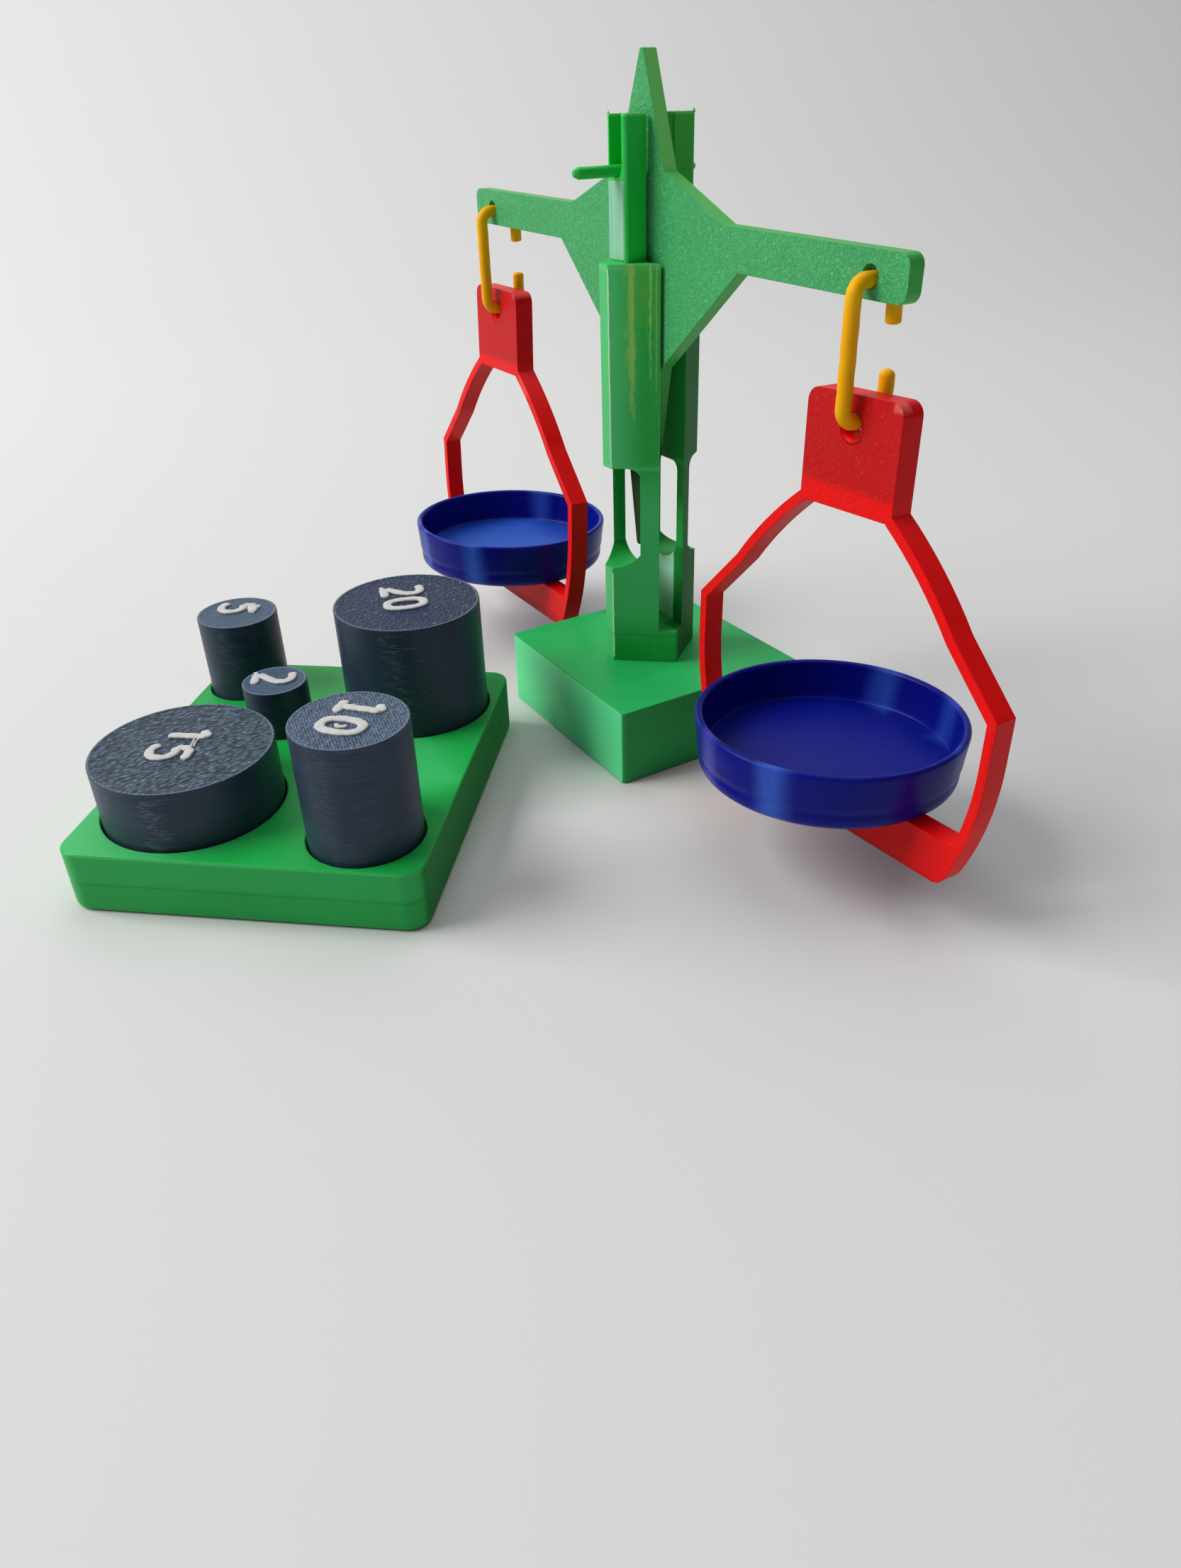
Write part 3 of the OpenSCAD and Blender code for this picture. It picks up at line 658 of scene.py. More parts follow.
# %% Group: nozzle lines
lines, given, result = new_group(
    "nozzle_lines", dict(Position=None, Across=(0, 0, 1), Pitch=0.0002, Waver=0.1), ["Ridge", "Tone"])
count = vector(lines, "DOT_PRODUCT", given["Position"], given["Across"])
count = calc(lines, "DIVIDE", count, given["Pitch"])
count = calc(lines, "MULTIPLY_ADD", noise(lines, given["Position"], 4 * MM), given["Waver"], count)
wave = calc(lines, "SINE", times(lines, count, 2 * np.pi))
feed(lines, calc(lines, "MULTIPLY_ADD", wave, 0.5, 0.5), result["Ridge"])
random_tone = lines.nodes.new("ShaderNodeTexWhiteNoise")
random_tone.noise_dimensions = "1D"
feed(lines, calc(lines, "FLOOR", count), random_tone.inputs["W"])
feed(lines, random_tone.outputs["Value"], result["Tone"])
print(lines.name, "ready")

# %% [markdown]
# A grainy skin has small soft lumps of uneven size and, here and there, a lump picked for a painted glint.
# Its tone follows its height: paler on the lumps and darker between them. The position can be stretched
# along the nozzle's way first, which turns the lumps into torn strands.

# %% Group: grainy skin
grain, given, result = new_group(
    "grainy_skin", dict(Position=None, Along=(1, 0, 0), Stretch=0.0, Size=0.0005),
    ["Height", "Tone", "Sparks"])
scaled = vector(grain, "DIVIDE", given["Position"], given["Size"])
reach = times(grain, vector(grain, "DOT_PRODUCT", scaled, given["Along"]), given["Stretch"])
pulled = vector(grain, "SUBTRACT", scaled, vector(grain, "MULTIPLY", given["Along"], reach))
cells = grain.nodes.new("ShaderNodeTexVoronoi")
cells.inputs["Scale"].default_value = 0.8
feed(grain, pulled, cells.inputs["Vector"])
lump = ramp(grain, cells.outputs["Distance"], 0.0, 0.75, 1.0, 0.0)
height = calc(grain, "MULTIPLY_ADD", lump, 0.4, noise(grain, pulled, 1.8, 3.0, 0.6))
feed(grain, height, result["Height"])
feed(grain, ramp(grain, height, 0.35, 1.0, -1.0, 1.0), result["Tone"])
lucky = grain.nodes.new("ShaderNodeSeparateColor")
feed(grain, cells.outputs["Color"], lucky.inputs[0])
glint = times(grain, ramp(grain, lucky.outputs[0], 0.84, 0.98), calc(grain, "POWER", lump, 3.0))
feed(grain, glint, result["Sparks"])
print(grain.name, "ready")

# %% [markdown]
# Slow patches are a large, soft noise between -1 and 1. Facing is 1 on faces that look along an axis:
# both ways, or only along it. A region is a box with soft, ragged sides, for marks that one place of
# a piece has. How soft and how ragged it is may differ along the three axes. Streak stretches its
# noise along an axis, so that its ragged ends become strokes.

# %% Groups: patches, facing and region
patches, given, result = new_group("slow_patches", dict(Position=None, Size=0.02), ["Tone"])
slow = noise(patches, vector(patches, "DIVIDE", given["Position"], given["Size"]), 1.0, 3.0, 0.55)
feed(patches, ramp(patches, slow, 0.3, 0.7, -1.0, 1.0), result["Tone"])

facing, given, result = new_group("facing", dict(Normal=None, Axis=(0, 0, 1)), ["Both", "Along"])
along_axis = vector(facing, "DOT_PRODUCT", given["Normal"], given["Axis"])
feed(facing, ramp(facing, calc(facing, "ABSOLUTE", along_axis), 0.80, 0.97), result["Both"])
feed(facing, ramp(facing, along_axis, 0.80, 0.97), result["Along"])

region, given, result = new_group("region", dict(
    Position=None, Low=(0, 0, 0), High=(1, 1, 1), Soft=(0.0005, 0.0005, 0.0005), Ragged=(0, 0, 0),
    Grain=0.002, Streak=(1, 1, 1)), ["Mask"])
grains = vector(region, "DIVIDE", given["Position"], given["Grain"])
grains = vector(region, "MULTIPLY", grains, given["Streak"])
shake = noise(region, grains, 1.0, 4.0, 0.65, "Color")
shake = vector(region, "SUBTRACT", shake, (0.5, 0.5, 0.5))
shaken = vector(region, "ADD", given["Position"], vector(region, "MULTIPLY", shake, given["Ragged"]))
past_low = vector(region, "SUBTRACT", shaken, given["Low"])
to_high = vector(region, "SUBTRACT", given["High"], shaken)
inside = vector(region, "DIVIDE", vector(region, "MINIMUM", past_low, to_high), given["Soft"])
parts = region.nodes.new("ShaderNodeSeparateXYZ")
feed(region, inside, parts.inputs[0])
least = calc(region, "MINIMUM", parts.outputs[0], parts.outputs[1])
least = calc(region, "MINIMUM", least, parts.outputs[2])
feed(region, ramp(region, least, 0.0, 1.0), result["Mask"])
print("groups:", [g.name for g in bpy.data.node_groups])

# %% [markdown]
# Printed plastic is one colour all through, so the material starts from that colour. Layer rings darken and
# lighten it by a few percent, the skin of a flat face is paler and grainy, and slow patches keep large
# faces from looking painted. The bump carries the same effects, in parts of a millimetre. Marks are regions
# with their own colour: stains, and painted light, shade and highlights, such as a painted silky stretch.

# %% Printed plastic
FINISH = dict(
    flat_axis=(0, 0, 1), layer_axis=(0, 0, 1), layer=0.2, layer_depth=0.010, layer_tone=0.08,
    strand_axis=None, strand=0.41, strand_depth=0.02, strand_tone=0.15, skin=0.0, skin_size=0.5,
    skin_tone=0.0, stretch=0.0, sparks=0.0, patch=0.10, patch_size=18, patch_rough=0.04,
    rough=0.40, flat_rough=0.45, gloss=0.3, marks=())


def linear(*rgb):
    """Colour from 0 to 255 as a screen shows it, turned into light: ((c + 0.055) / 1.055) ^ 2.4."""
    c = np.array(rgb) / 255
    return (*np.where(c <= 0.04045, c / 12.92, ((c + 0.055) / 1.055) ** 2.4).tolist(), 1)


def brighter(colour, factor, more):
    """Colour times a factor, with a little more of each, and no channel above 1."""
    return tuple(min(1.0, c * factor + more) for c in colour[:3]) + (1,)


def mixed(tree, mask, first, second):
    """Colour between two others by a mask; each may be a socket."""
    made = tree.nodes.new("ShaderNodeMix")
    made.data_type = "RGBA"
    made.clamp_factor = True
    for key, value in ((0, mask), (6, first), (7, second)):
        feed(tree, value, made.inputs[key])
    return made.outputs[2]


def triple(value):
    """A length in mm, or three of them, as three lengths in metres."""
    return tuple(float(v) * MM for v in np.broadcast_to(value, 3))


def zone(low, high, colour, strength, **more):
    """Mark in the box between two corners, in mm, with its colour from 0 to 255 and its strength.

    It may also say how soft and how ragged its sides are, the grain and streak of their raggedness,
    the axis along which its faces look, and its own roughness."""
    return dict(low=low, high=high, colour=linear(*colour), strength=strength, **more)


def marked(tree, mark, position, normal, base, spread):
    """Base colour and roughness with one mark laid over them."""
    mask = use(tree, region, Position=position, Low=triple(mark["low"]), High=triple(mark["high"]),
               Soft=triple(mark.get("soft", 0.5)), Ragged=triple(mark.get("ragged", 0)),
               Grain=mark.get("grain", 2) * MM, Streak=mark.get("streak", (1, 1, 1)))["Mask"]
    if "axis" in mark:
        mask = times(tree, mask, use(tree, facing, Normal=normal, Axis=mark["axis"])["Along"])
    mask = times(tree, mask, mark["strength"])
    if "rough" in mark:
        change = calc(tree, "SUBTRACT", mark["rough"], spread)
        spread = calc(tree, "MULTIPLY_ADD", mask, change, spread)
    return mixed(tree, mask, base, mark["colour"]), spread


def printed(name, colour, flat_colour, dark, **changes):
    """Material of one printed part. Lengths are in mm. flat_axis is the way its flat faces look,
    layer_axis the way its layers pile up, and strand_axis the way across the lines on a flat face."""
    f = {**FINISH, **changes}
    colour, flat_colour, dark = (linear(*rgb) for rgb in (colour, flat_colour, dark))
    material = bpy.data.materials.new(name)
    material.use_nodes = True
    tree = material.node_tree
    shader = tree.nodes["Principled BSDF"]
    shader.inputs["Specular IOR Level"].default_value = f["gloss"]
    coords = tree.nodes.new("ShaderNodeTexCoord")
    position, normal = coords.outputs["Object"], coords.outputs["Normal"]
    flat = use(tree, facing, Normal=normal, Axis=f["flat_axis"])["Both"]
    sides = calc(tree, "SUBTRACT", 1.0, flat)

    rings = use(tree, lines, Position=position, Across=f["layer_axis"], Pitch=f["layer"] * MM, Waver=0.15)
    broken = times(tree, noise(tree, position, 3 * MM), 2 * f["layer_tone"])  # rings fade here and there
    ring_tone = times(tree, calc(tree, "SUBTRACT", rings["Tone"], 0.5), broken)
    shade = times(tree, ring_tone, sides)
    height = times(tree, times(tree, rings["Ridge"], f["layer_depth"] * MM), sides)
    strand_way = (1, 0, 0)  # the way along the lines on a flat face
    if f["strand_axis"] is not None:
        strand_way = tuple(np.cross(f["flat_axis"], f["strand_axis"]).tolist())
        strands = use(tree, lines, Position=position, Across=f["strand_axis"], Pitch=f["strand"] * MM,
                      Waver=0.25)
        strand_tone = times(tree, calc(tree, "SUBTRACT", strands["Ridge"], 0.5), f["strand_tone"])
        shade = calc(tree, "MULTIPLY_ADD", strand_tone, flat, shade)
        strand_height = times(tree, strands["Ridge"], f["strand_depth"] * MM)
        height = calc(tree, "MULTIPLY_ADD", strand_height, flat, height)
    skin = use(tree, grain, Position=position, Size=f["skin_size"] * MM, Along=strand_way,
               Stretch=f["stretch"])
    height = calc(tree, "MULTIPLY_ADD", times(tree, skin["Height"], f["skin"] * MM), flat, height)
    shade = calc(tree, "MULTIPLY_ADD", times(tree, skin["Tone"], f["skin_tone"]), flat, shade)
    tone = use(tree, patches, Position=position, Size=f["patch_size"] * MM)["Tone"]
    shade = calc(tree, "MULTIPLY_ADD", tone, f["patch"], shade)

    base = mixed(tree, flat, colour, flat_colour)
    base = mixed(tree, times(tree, shade, -1.0, clamp=True), base, dark)
    lighter = brighter(flat_colour, factor=1.7, more=0.03)
    base = mixed(tree, times(tree, shade, 1.0, clamp=True), base, lighter)
    spread = calc(tree, "MULTIPLY_ADD", flat, f["flat_rough"] - f["rough"], f["rough"])
    spread = calc(tree, "MULTIPLY_ADD", tone, f["patch_rough"], spread)
    # Painted glints: the picked lumps of the skin are made paler.
    if f["sparks"]:
        spark = times(tree, times(tree, skin["Sparks"], flat), f["sparks"])
        base = mixed(tree, spark, base, brighter(flat_colour, factor=1, more=0.35))
    for mark in f["marks"]:
        base, spread = marked(tree, mark, position, normal, base, spread)
    relief = tree.nodes.new("ShaderNodeBump")
    relief.inputs["Strength"].default_value = relief.inputs["Distance"].default_value = 1.0
    feed(tree, height, relief.inputs["Height"])
    for key, value in (("Base Color", base), ("Roughness", spread), ("Normal", relief.outputs[0])):
        feed(tree, value, shader.inputs[key])
    print("finish:", name)
    return material


def dress(piece, material):
    """The piece gets one material in place of what it had."""
    piece.data.materials.clear()
    piece.data.materials.append(material)


print("the green of the base, as light:", np.round(linear(26, 156, 72)[:3], 3))

# %% [markdown]
# The green parts came off the printer in different ways. The base and the tray lay flat, with their
# layers piled upwards and crossing lines on top. The column was printed lying down, so its layer
# lines run along it and show as fine silky streaks, and a yellowish stain runs down one facet. The
# beam is a thin plate with a grainy face.

# %% Green base
FRONT, RIGHT, UP = (0, -1, 0), (1, 0, 0), (0, 0, 1)


def level_way(angle_deg):
    """Level direction at an angle from X: (cos, sin, 0)."""
    return tuple((turned(0, 0, angle_deg) @ RIGHT).tolist())


green_base = printed(
    "green_base", (26, 156, 72), (34, 176, 92), (6, 70, 30), strand_axis=(0.707, 0.707, 0), strand=0.45,
    strand_depth=0.003, strand_tone=0.03, patch=0.06, layer_tone=0.05, gloss=0.25, marks=(
        # Painted light on the front face, a soft patch of painted light low on it, and a painted highlight
        # along its upper edge.
        zone((-27, -25.5, -1), (27, -23.5, 19), (104, 242, 164), 0.90, soft=0.3, axis=FRONT),
        zone((-30, -60, -9), (20, 12, 8), (60, 196, 124), 0.35, soft=8, ragged=5, grain=11, axis=FRONT),
        zone((-27, -26, 17.4), (27, 26, 19), (140, 240, 180), 0.5, soft=0.4, ragged=0.3, axis=FRONT),
    ))
dress(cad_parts["base"], green_base)

# %% [markdown]
# Marks are laid over the plastic in the order of their list, so a later one covers an earlier one. On the
# column the painted sheens of the front flat and the facets come first, then painted light on the two
# uprights, the painted reflection on the silky front with its painted bright lines, the streaks, and last
# the painted shade in and behind the slot.

# %% Green column
facet = tuple(unit(np.array([11.5, -9.4, 0])).tolist())  # the way the right front facet looks
# Colour of the painted highlights at the corner of the front flat.
EDGE_SHEEN = (214, 248, 226)


def level_band(low_z, high_z, colour, strength, **more):
    """Mark that runs level round the whole column between two heights."""
    return zone((-12, -12, low_z), (12, 12, high_z), colour, strength, **more)


def upright_reflection(low_x, high_x, colour, strength, **more):
    """Painted reflection on the front of the front upright, between two places along X."""
    return zone((low_x, -9, 105), (high_x, -7.8, 119.0), colour, strength, axis=FRONT, **more)


def streak(x, wide, low_z, soft, shift, grain, colour, strength):
    """Ragged upright streak on the right front facet, from low_z to above the top."""
    return zone((x, -20, low_z), (x + wide, 8, 140), colour, strength, soft=(soft, 1, 9),
                ragged=(shift, 0, 30), grain=grain, streak=(1, 1, 0.25), axis=facet)


STREAKS = [
    (3.3, 5.6, 88, 1.6, 2.4, 0.7, (84, 184, 62), 0.60),
    (3.7, 1.5, 77, 0.5, 2.6, 1.1, (128, 196, 84), 0.80),
    (4.2, 0.9, 73, 0.3, 1.2, 0.7, (150, 206, 104), 0.60),
    (6.85, 0.4, 80, 0.15, 0.7, 0.5, (160, 222, 124), 0.60),
    (7.7, 0.3, 77, 0.12, 0.4, 0.5, (140, 212, 116), 0.55),
    (8.2, 0.4, 60, 0.15, 0.3, 0.5, (120, 210, 140), 0.35),
]
green_column = printed(
    "green_column", (26, 168, 66), (34, 172, 76), (4, 84, 26), layer_axis=(0.94, 0.34, 0), layer=0.42,
    layer_depth=0.006, layer_tone=0.07, rough=0.34, patch=0.07, gloss=0.25, marks=(
        # Painted light on the front flat, and painted sheen on the right front facet, high and low.
        zone((-2, -12, 18), (1.7, -11, 105), (100, 216, 136), 0.50, soft=0.2, axis=FRONT),
        zone((-12, -40, 56), (6.5, 20, 130), (96, 226, 140), 0.60, soft=5, axis=facet),
        zone((-20, -40, 20), (40, 30, 66), (84, 226, 140), 0.40, soft=12, axis=facet),
        # Painted highlights: paler level bands at the top and at the foot of the collar.
        level_band(103.2, 104.7, (90, 220, 120), 0.45, soft=0.3, ragged=0.2),
        level_band(63.3, 64.6, (80, 210, 120), 0.40, soft=0.3, ragged=0.4),
        # Painted light on the two uprights: the front one brighter green, the back one lighter and more
        # olive.
        zone((-20, -20, 104.6), (20, 1, 140), (34, 224, 76), 0.55, soft=1.5),
        zone((-20, 0, 104.2), (20, 20, 140), (70, 196, 66), 0.65, soft=0.8),
        # Painted highlight along the tops of the uprights.
        level_band(129.5, 131, (140, 236, 130), 0.45, soft=0.25, ragged=0.3),
        # Painted reflection on the front of the front upright, with a lower roughness, and two brighter
        # painted lines in it.
        upright_reflection(-3.2, 3, (150, 196, 178), 0.80, soft=0.15, ragged=0.2, grain=3, rough=0.28),
        upright_reflection(-0.9, -0.6, (196, 224, 214), 0.40, soft=0.1, ragged=0.1),
        upright_reflection(1.9, 2.2, (196, 224, 214), 0.35, soft=0.1, ragged=0.1),
        # Painted highlights: thin bright lines at the corner of the front flat, on the collar and low down.
        zone((1.42, -12, 64), (1.80, -11, 103.6), EDGE_SHEEN, 0.85, soft=0.12, ragged=0.35, grain=3),
        zone((1.42, -12, 19), (1.80, -11, 40), EDGE_SHEEN, 0.85, soft=0.12, ragged=0.45, grain=2.5),
        *(streak(*row) for row in STREAKS),
        level_band(24.4, 25.0, (24, 120, 52), 0.35, soft=0.2, ragged=0.3),
        # Painted reflection, with a lower roughness, on the far wall of the slot low down, which lies in
        # shade.
        zone((-3.0, 2, 26.0), (5.0, 4, 45), (180, 230, 208), 0.90, soft=0.25, ragged=(1.6, 0, 1), grain=0.7,
             streak=(1, 1, 0.12), axis=FRONT, rough=0.35),
        # Painted shade behind the slot and on the back facet, which is also made rougher.
        zone((4.6, 0, 20), (12, 12, 45), (6, 96, 34), 0.6, soft=0.6),
        zone((-12, 0, 14), (14, 14, 103), (14, 92, 24), 0.75, soft=2, axis=(facet[0], -facet[1], 0),
             rough=0.75),
    ))
for piece in (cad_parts["column"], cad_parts["pivot_pin"], *wisps):
    dress(piece, green_column)

# %% [markdown]
# The beam's tail has painted shade, as it lies in the shade of the slot on the real one, and the pointer's
# right side has painted light. The top of the tray has painted sheen near its front corner and between the
# weights, a thin painted highlight runs along its upper edge, and the side that looks along the tray's turn
# has painted shade.

# %% Green beam and tray
green_beam = printed(
    "green_beam", (62, 176, 72), (66, 168, 100), (8, 96, 40), flat_axis=(0, 1, 0), layer_axis=(0, 1, 0),
    skin=0.18, skin_size=0.38, skin_tone=0.20, sparks=0.9, patch=0.06, flat_rough=0.42, gloss=0.25, marks=(
        # Painted light on the right side of the pointer.
        zone((-12, -5, 108), (12, 2, 146), (140, 236, 124), 0.8, soft=2, axis=RIGHT),
        # Painted shade on the tail, which is also made rougher.
        zone((-20, -20, 30), (20, 20, 70), (30, 32, 10), 0.92, soft=5, rough=0.7),
    ))
green_tray = printed(
    "green_tray", (26, 170, 76), (24, 172, 74), (4, 84, 30), strand_axis=level_way(TRAY_TURN + 45),
    strand=0.48, strand_depth=0.022, strand_tone=0.28, patch=0.07, flat_rough=0.34, rough=0.36,
    gloss=0.25, marks=(
        # Painted highlight along the upper edge.
        zone((-80, -160, 12.85), (80, 40, 13.39), (84, 216, 124), 0.5, soft=0.15),
        zone((-80, -160, 7.2), (80, 40, 13.3), (44, 192, 96), 0.35, soft=0.5),
        # Painted shade, with a higher roughness, on the side that looks along the tray's turn.
        zone((-80, -160, -9), (80, 40, 20), (12, 104, 30), 0.7, soft=1, axis=level_way(TRAY_TURN),
             rough=0.8),
        # Painted sheen on the top, near the front corner and between the weights.
        zone((-44, -170, -30), (26, -100, 50), (86, 208, 128), 0.6, soft=14, ragged=6, grain=12, axis=UP),
        zone((-8, -92, 0), (30, -56, 30), (84, 206, 130), 0.5, soft=12, ragged=8, grain=10, axis=UP),
    ))
dress(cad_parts["beam"], green_beam)
for piece in (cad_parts["weight_tray"], tray_low):
    dress(piece, green_tray)

# %% [markdown]
# The hangers are red with a grainy front, and their sides are smooth. Their arms have painted light, and
# their plates and arms painted highlights. They hang a little leaned and turned, so the marks on them are
# given in the hanger's own upright frame and moved along with it.

# %% Red hangers
def on_hanger(side, low, high, **more):
    """Mark between two corners given in the hanger's own upright frame, for a small turn only."""
    corners = moved(np.array([low, high], float), *hung(side))
    return dict(low=tuple(corners.min(axis=0)), high=tuple(corners.max(axis=0)), **more)


# Painted light: the arms made brighter red.
PAINTED_LIGHT_ARMS = zone((-40, -6, -75), (40, 6, -11), (255, 14, 12), 0.7, soft=2)
# Painted highlights at the plate's upper corner, and on the left hanger below the plate's shoulder; a
# lighter line across the bend of each arm.
RED_MARKS = {
    1: (zone((8.4, -3, 2.6), (11.2, 0, 4.8), (240, 130, 126), 0.45, soft=0.7, ragged=0.3),
        zone((27.1, -3, -45), (27.7, 3, -30), (232, 80, 74), 0.40, soft=0.2, ragged=0.2)),
    -1: (zone((11.0, -4, -20), (20.5, 4, -12), (250, 140, 134), 0.60, soft=1.4, ragged=1.6, grain=1.5,
              axis=FRONT),
         zone((27.1, -3, -45), (27.7, 3, -30), (240, 96, 88), 0.55, soft=0.2, ragged=0.2),
         zone((8.6, -3, 2.8), (11.2, 3, 4.8), (236, 110, 106), 0.35, soft=0.7, ragged=0.3)),
}
RED_SKIN = {1: dict(skin=0.09, skin_tone=0.07, sparks=0.12),
            -1: dict(skin=0.05, skin_tone=0.04, sparks=0.04)}
for side, word in SIDES.items():
    matrix = hung(side)[0]
    out = tuple((matrix @ [0, 1, 0]).tolist())
    slope = tuple((matrix @ [0.707, 0, -0.707]).tolist())
    red = printed(
        "red_hanger_" + word, (228, 4, 8), (200, 18, 20), (104, 0, 2), flat_axis=out, layer_axis=out,
        strand_axis=slope, strand=0.42, strand_depth=0.003, strand_tone=0.02, skin_size=0.42, stretch=0.45,
        patch=0.05, rough=0.38, flat_rough=0.44, gloss=0.12, **RED_SKIN[side],
        marks=tuple(on_hanger(side, **mark) for mark in (*RED_MARKS[side], PAINTED_LIGHT_ARMS)))
    dress(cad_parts["hanger_" + word], red)
    dress(lips[side], red)

# %% [markdown]
# The pans are deep blue and silky. Painted highlights stand on their walls as a few soft upright bands, and
# the floor of the left pan has painted light, because the room shines into it.

# %% Blue pans
def painted_sheen_band(side, angle_deg, strength, half, colour=(58, 100, 206)):
    """Painted highlight with a lower roughness over one upright stripe of a pan's wall: a narrow box round
    middle + radius * (cos, sin).
    """
    out = (PAN_R - 1) * np.array(level_way(angle_deg))
    middle = moved(out + [0, 0, BAR_TOP + PAN_H / 2], *hung(side))
    reach = np.array([half, half, 12])
    return zone(tuple(middle - reach), tuple(middle + reach), colour, strength, soft=half, ragged=0.9,
                grain=0.8, streak=(1, 1, 0.2), rough=0.26)


def painted_pan_light(side, colour):
    """Painted light over the floor of a pan: a box round its middle, for the faces that look up."""
    middle = moved(np.array([0, 0, BAR_TOP + PAN_FLOOR]), *hung(side))
    reach = np.array([22, 20, 12])
    return zone(tuple(middle - reach), tuple(middle + reach), colour, 0.6, soft=11, ragged=6, grain=12,
                axis=tuple((hung(side)[0] @ UP).tolist()))


# Painted highlights on the walls: angle, strength, half width, and for some a colour.
SHEEN_BANDS = {
    1: ((-104, 0.50, 4.2, (84, 84, 190)), (-67, 0.75, 4.4), (108, 0.55, 4.6), (66, 0.35, 4.6),
        (20, 0.25, 3.4)),
    -1: ((-91, 0.60, 2.8), (-50, 0.75, 3.6), (-110, 0.65, 3.8, (104, 88, 196)), (131, 0.60, 4.4),
         (95, 0.30, 4.2)),
}
# Blue of each floor and colour of the painted light on it; the left floor's blue is also painted lighter.
FLOORS = {1: ((3, 16, 122), (10, 20, 132)), -1: ((24, 60, 162), (56, 102, 200))}
for side, word in SIDES.items():
    floor_blue, shine = FLOORS[side]
    up = tuple((hung(side)[0] @ UP).tolist())
    blue = printed(
        "blue_pan_" + word, (6, 14, 130), floor_blue, (0, 2, 60), flat_axis=up, layer_axis=up,
        layer_depth=0.012, layer_tone=0.06, rough=0.30, flat_rough=0.38, patch=0.04, gloss=0.13,
        marks=(*(painted_sheen_band(side, *band) for band in SHEEN_BANDS[side]), painted_pan_light(side, shine)))
    dress(pans[side], blue)

# %% [markdown]
# The hooks are yellow and smooth. The weights are slate grey: smooth with faint rings on their sides, and
# rough on top, where the last layer tore. Each side also has one upright row of short, level dashes of
# painted highlight, where the rings catch the light, and the top edge has a painted highlight. The numbers
# are off-white and a little glossy.

# %% Yellow, grey and white finishes
yellow = printed(
    "yellow_hook", (248, 176, 0), (248, 176, 0), (190, 96, 0), rough=0.42, layer_tone=0.03,
    layer_depth=0.002, patch_size=6, gloss=0.12)
for hook in hooks.values():
    dress(hook, yellow)

GREY = dict(layer=0.25, layer_tone=0.10, strand_axis=(0.35, 0.94, 0), strand=0.42, sparks=0.3, patch=0.06,
            patch_size=9, flat_rough=0.42, gloss=0.25)
TORN = {
    "2": dict(strand_depth=0.008, strand_tone=0.08, skin=0.10, skin_tone=0.20, sparks=0.1),
    "5": dict(strand_depth=0.05, strand_tone=0.55, skin=0.12, skin_tone=0.22, strand_axis=(0.06, 1, 0)),
    "10": dict(strand_depth=0.08, strand_tone=0.40, skin=0.50, skin_tone=0.50, strand_axis=(0.17, 0.98, 0),
               strand=0.55, sparks=0.6),
    "15": dict(strand_depth=0.04, strand_tone=0.35, skin=0.75, skin_tone=0.78, skin_size=0.56, stretch=0.45,
               sparks=1.0, strand_axis=(-1, 0.06, 0)),
    "20": dict(strand_depth=0.03, strand_tone=0.15, skin=0.65, skin_tone=0.48, skin_size=0.60, stretch=0.25,
               sparks=0.9),
}
TOPS = {"2": (66, 88, 112), "5": (66, 88, 112), "10": (84, 104, 130), "15": (70, 88, 106),
        "20": (28, 50, 84)}
# Each weight's row of painted highlight dashes: angle on its side and strength.
SHEEN_DASHES = {"2": (-20, 0.2), "5": (-30, 0.3), "10": (-50, 0.2), "15": (-36, 0.65), "20": (-36, 0.5)}


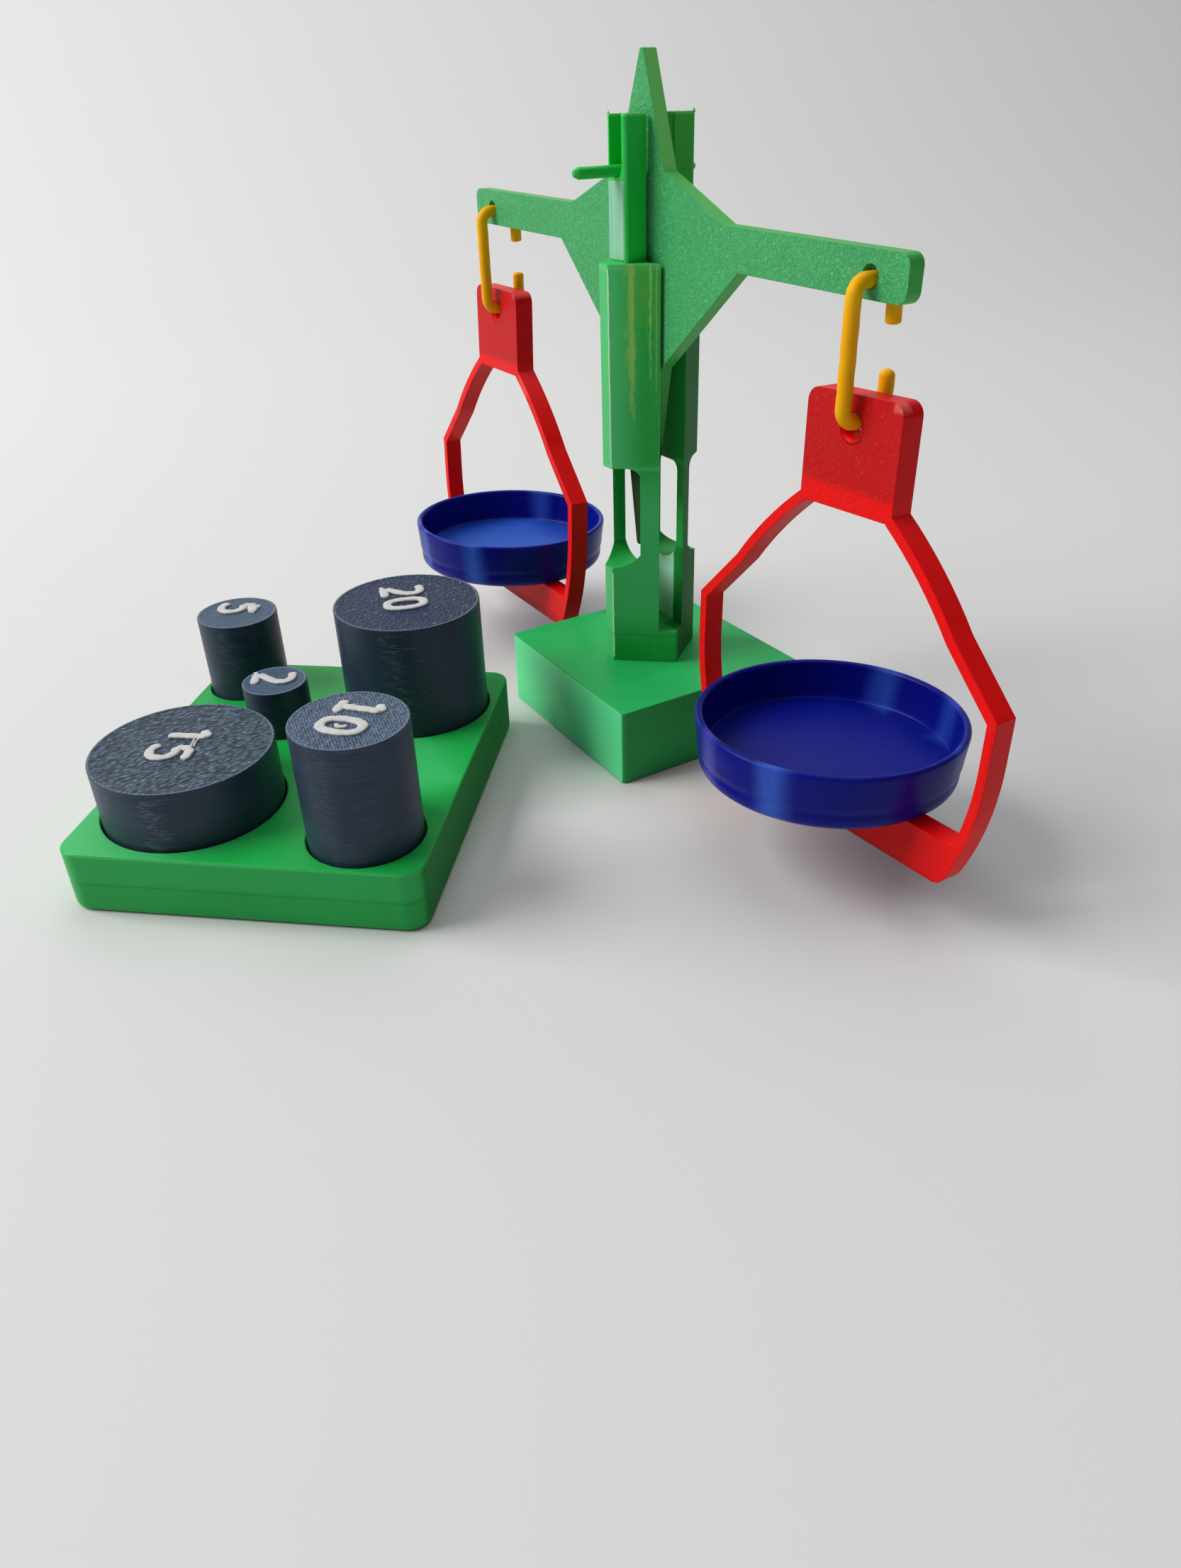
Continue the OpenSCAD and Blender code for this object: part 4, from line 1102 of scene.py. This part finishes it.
def sheen_dashes(number, angle_deg, strength):
    """Painted highlight of short level dashes on a weight's side, with a lower roughness, round middle +
    radius * (cos, sin).
    """
    _, radius, height = WEIGHTS[number]
    x, y, z = weight_foot(number) + radius * np.array(level_way(angle_deg))
    return zone((x - 0.45, y - 6, z + 1), (x + 0.45, y + 6, z + height - 1), (104, 122, 138), strength,
                soft=(0.35, 0.3, 0.2), ragged=(13, 0, 0), grain=1.1, streak=(0.14, 0.14, 1.6), rough=0.3)


for number, weight in weights.items():
    top_z = POCKET_FLOOR + WEIGHTS[number][2]
    # Painted highlight along the top edge.
    rim_highlight = zone((-200, -200, top_z - 0.07), (200, 200, top_z + 1), (112, 128, 148), 0.6, soft=0.05,
                     ragged=0.03)
    grey = printed(
        "grey_weight_" + number, (44, 58, 78), TOPS[number], (14, 22, 38), **{**GREY, **TORN[number]},
        marks=(rim_highlight, sheen_dashes(number, *SHEEN_DASHES[number])))
    dress(weight, grey)
white = printed(
    "white_bead", (204, 201, 199), (204, 201, 199), (150, 146, 144), skin=0.02, skin_size=0.8, patch=0.08,
    patch_size=3, layer_depth=0.0)
for stroke in numbers:
    dress(stroke, white)

# %% [markdown]
# The scale stands on a plain pale table. One sheet runs from under it and curves up behind, as seen
# from the camera, so that no horizon shows. It isn't part of the object.

# %% Floor
def floor_sheet(near=-3.0, bend_at=0.55, bend=0.6, top=2.0, half_width=4.0, count=24):
    """Profile carried sideways: flat up to bend_at, a quarter circle, then straight up.

    In the bend, along = bend_at + bend * sin(angle) and height = bend * (1 - cos(angle))."""
    angle = np.linspace(0, np.pi / 2, count)
    along_way = np.concatenate([[near], bend_at + bend * np.sin(angle), [bend_at + bend]])
    height = np.concatenate([[0], bend * (1 - np.cos(angle)), [top]])
    sideways = np.linspace(-half_width, half_width, 9)
    ahead = unit(VIEW_ROWS[2, :2])
    left = np.array([-ahead[1], ahead[0]])
    flat = along_way[:, None, None] * ahead + sideways[None, :, None] * left
    tall = np.broadcast_to(height[:, None, None], flat.shape[:2] + (1,))
    return np.concatenate([flat, tall], axis=-1)


floor = make_piece("floor", floor_sheet())
paper = bpy.data.materials.new("pale_floor")
paper.use_nodes = True
sheen = paper.node_tree.nodes["Principled BSDF"].inputs
sheen["Base Color"].default_value, sheen["Roughness"].default_value = (0.70, 0.70, 0.69, 1), 0.7
dress(floor, paper)
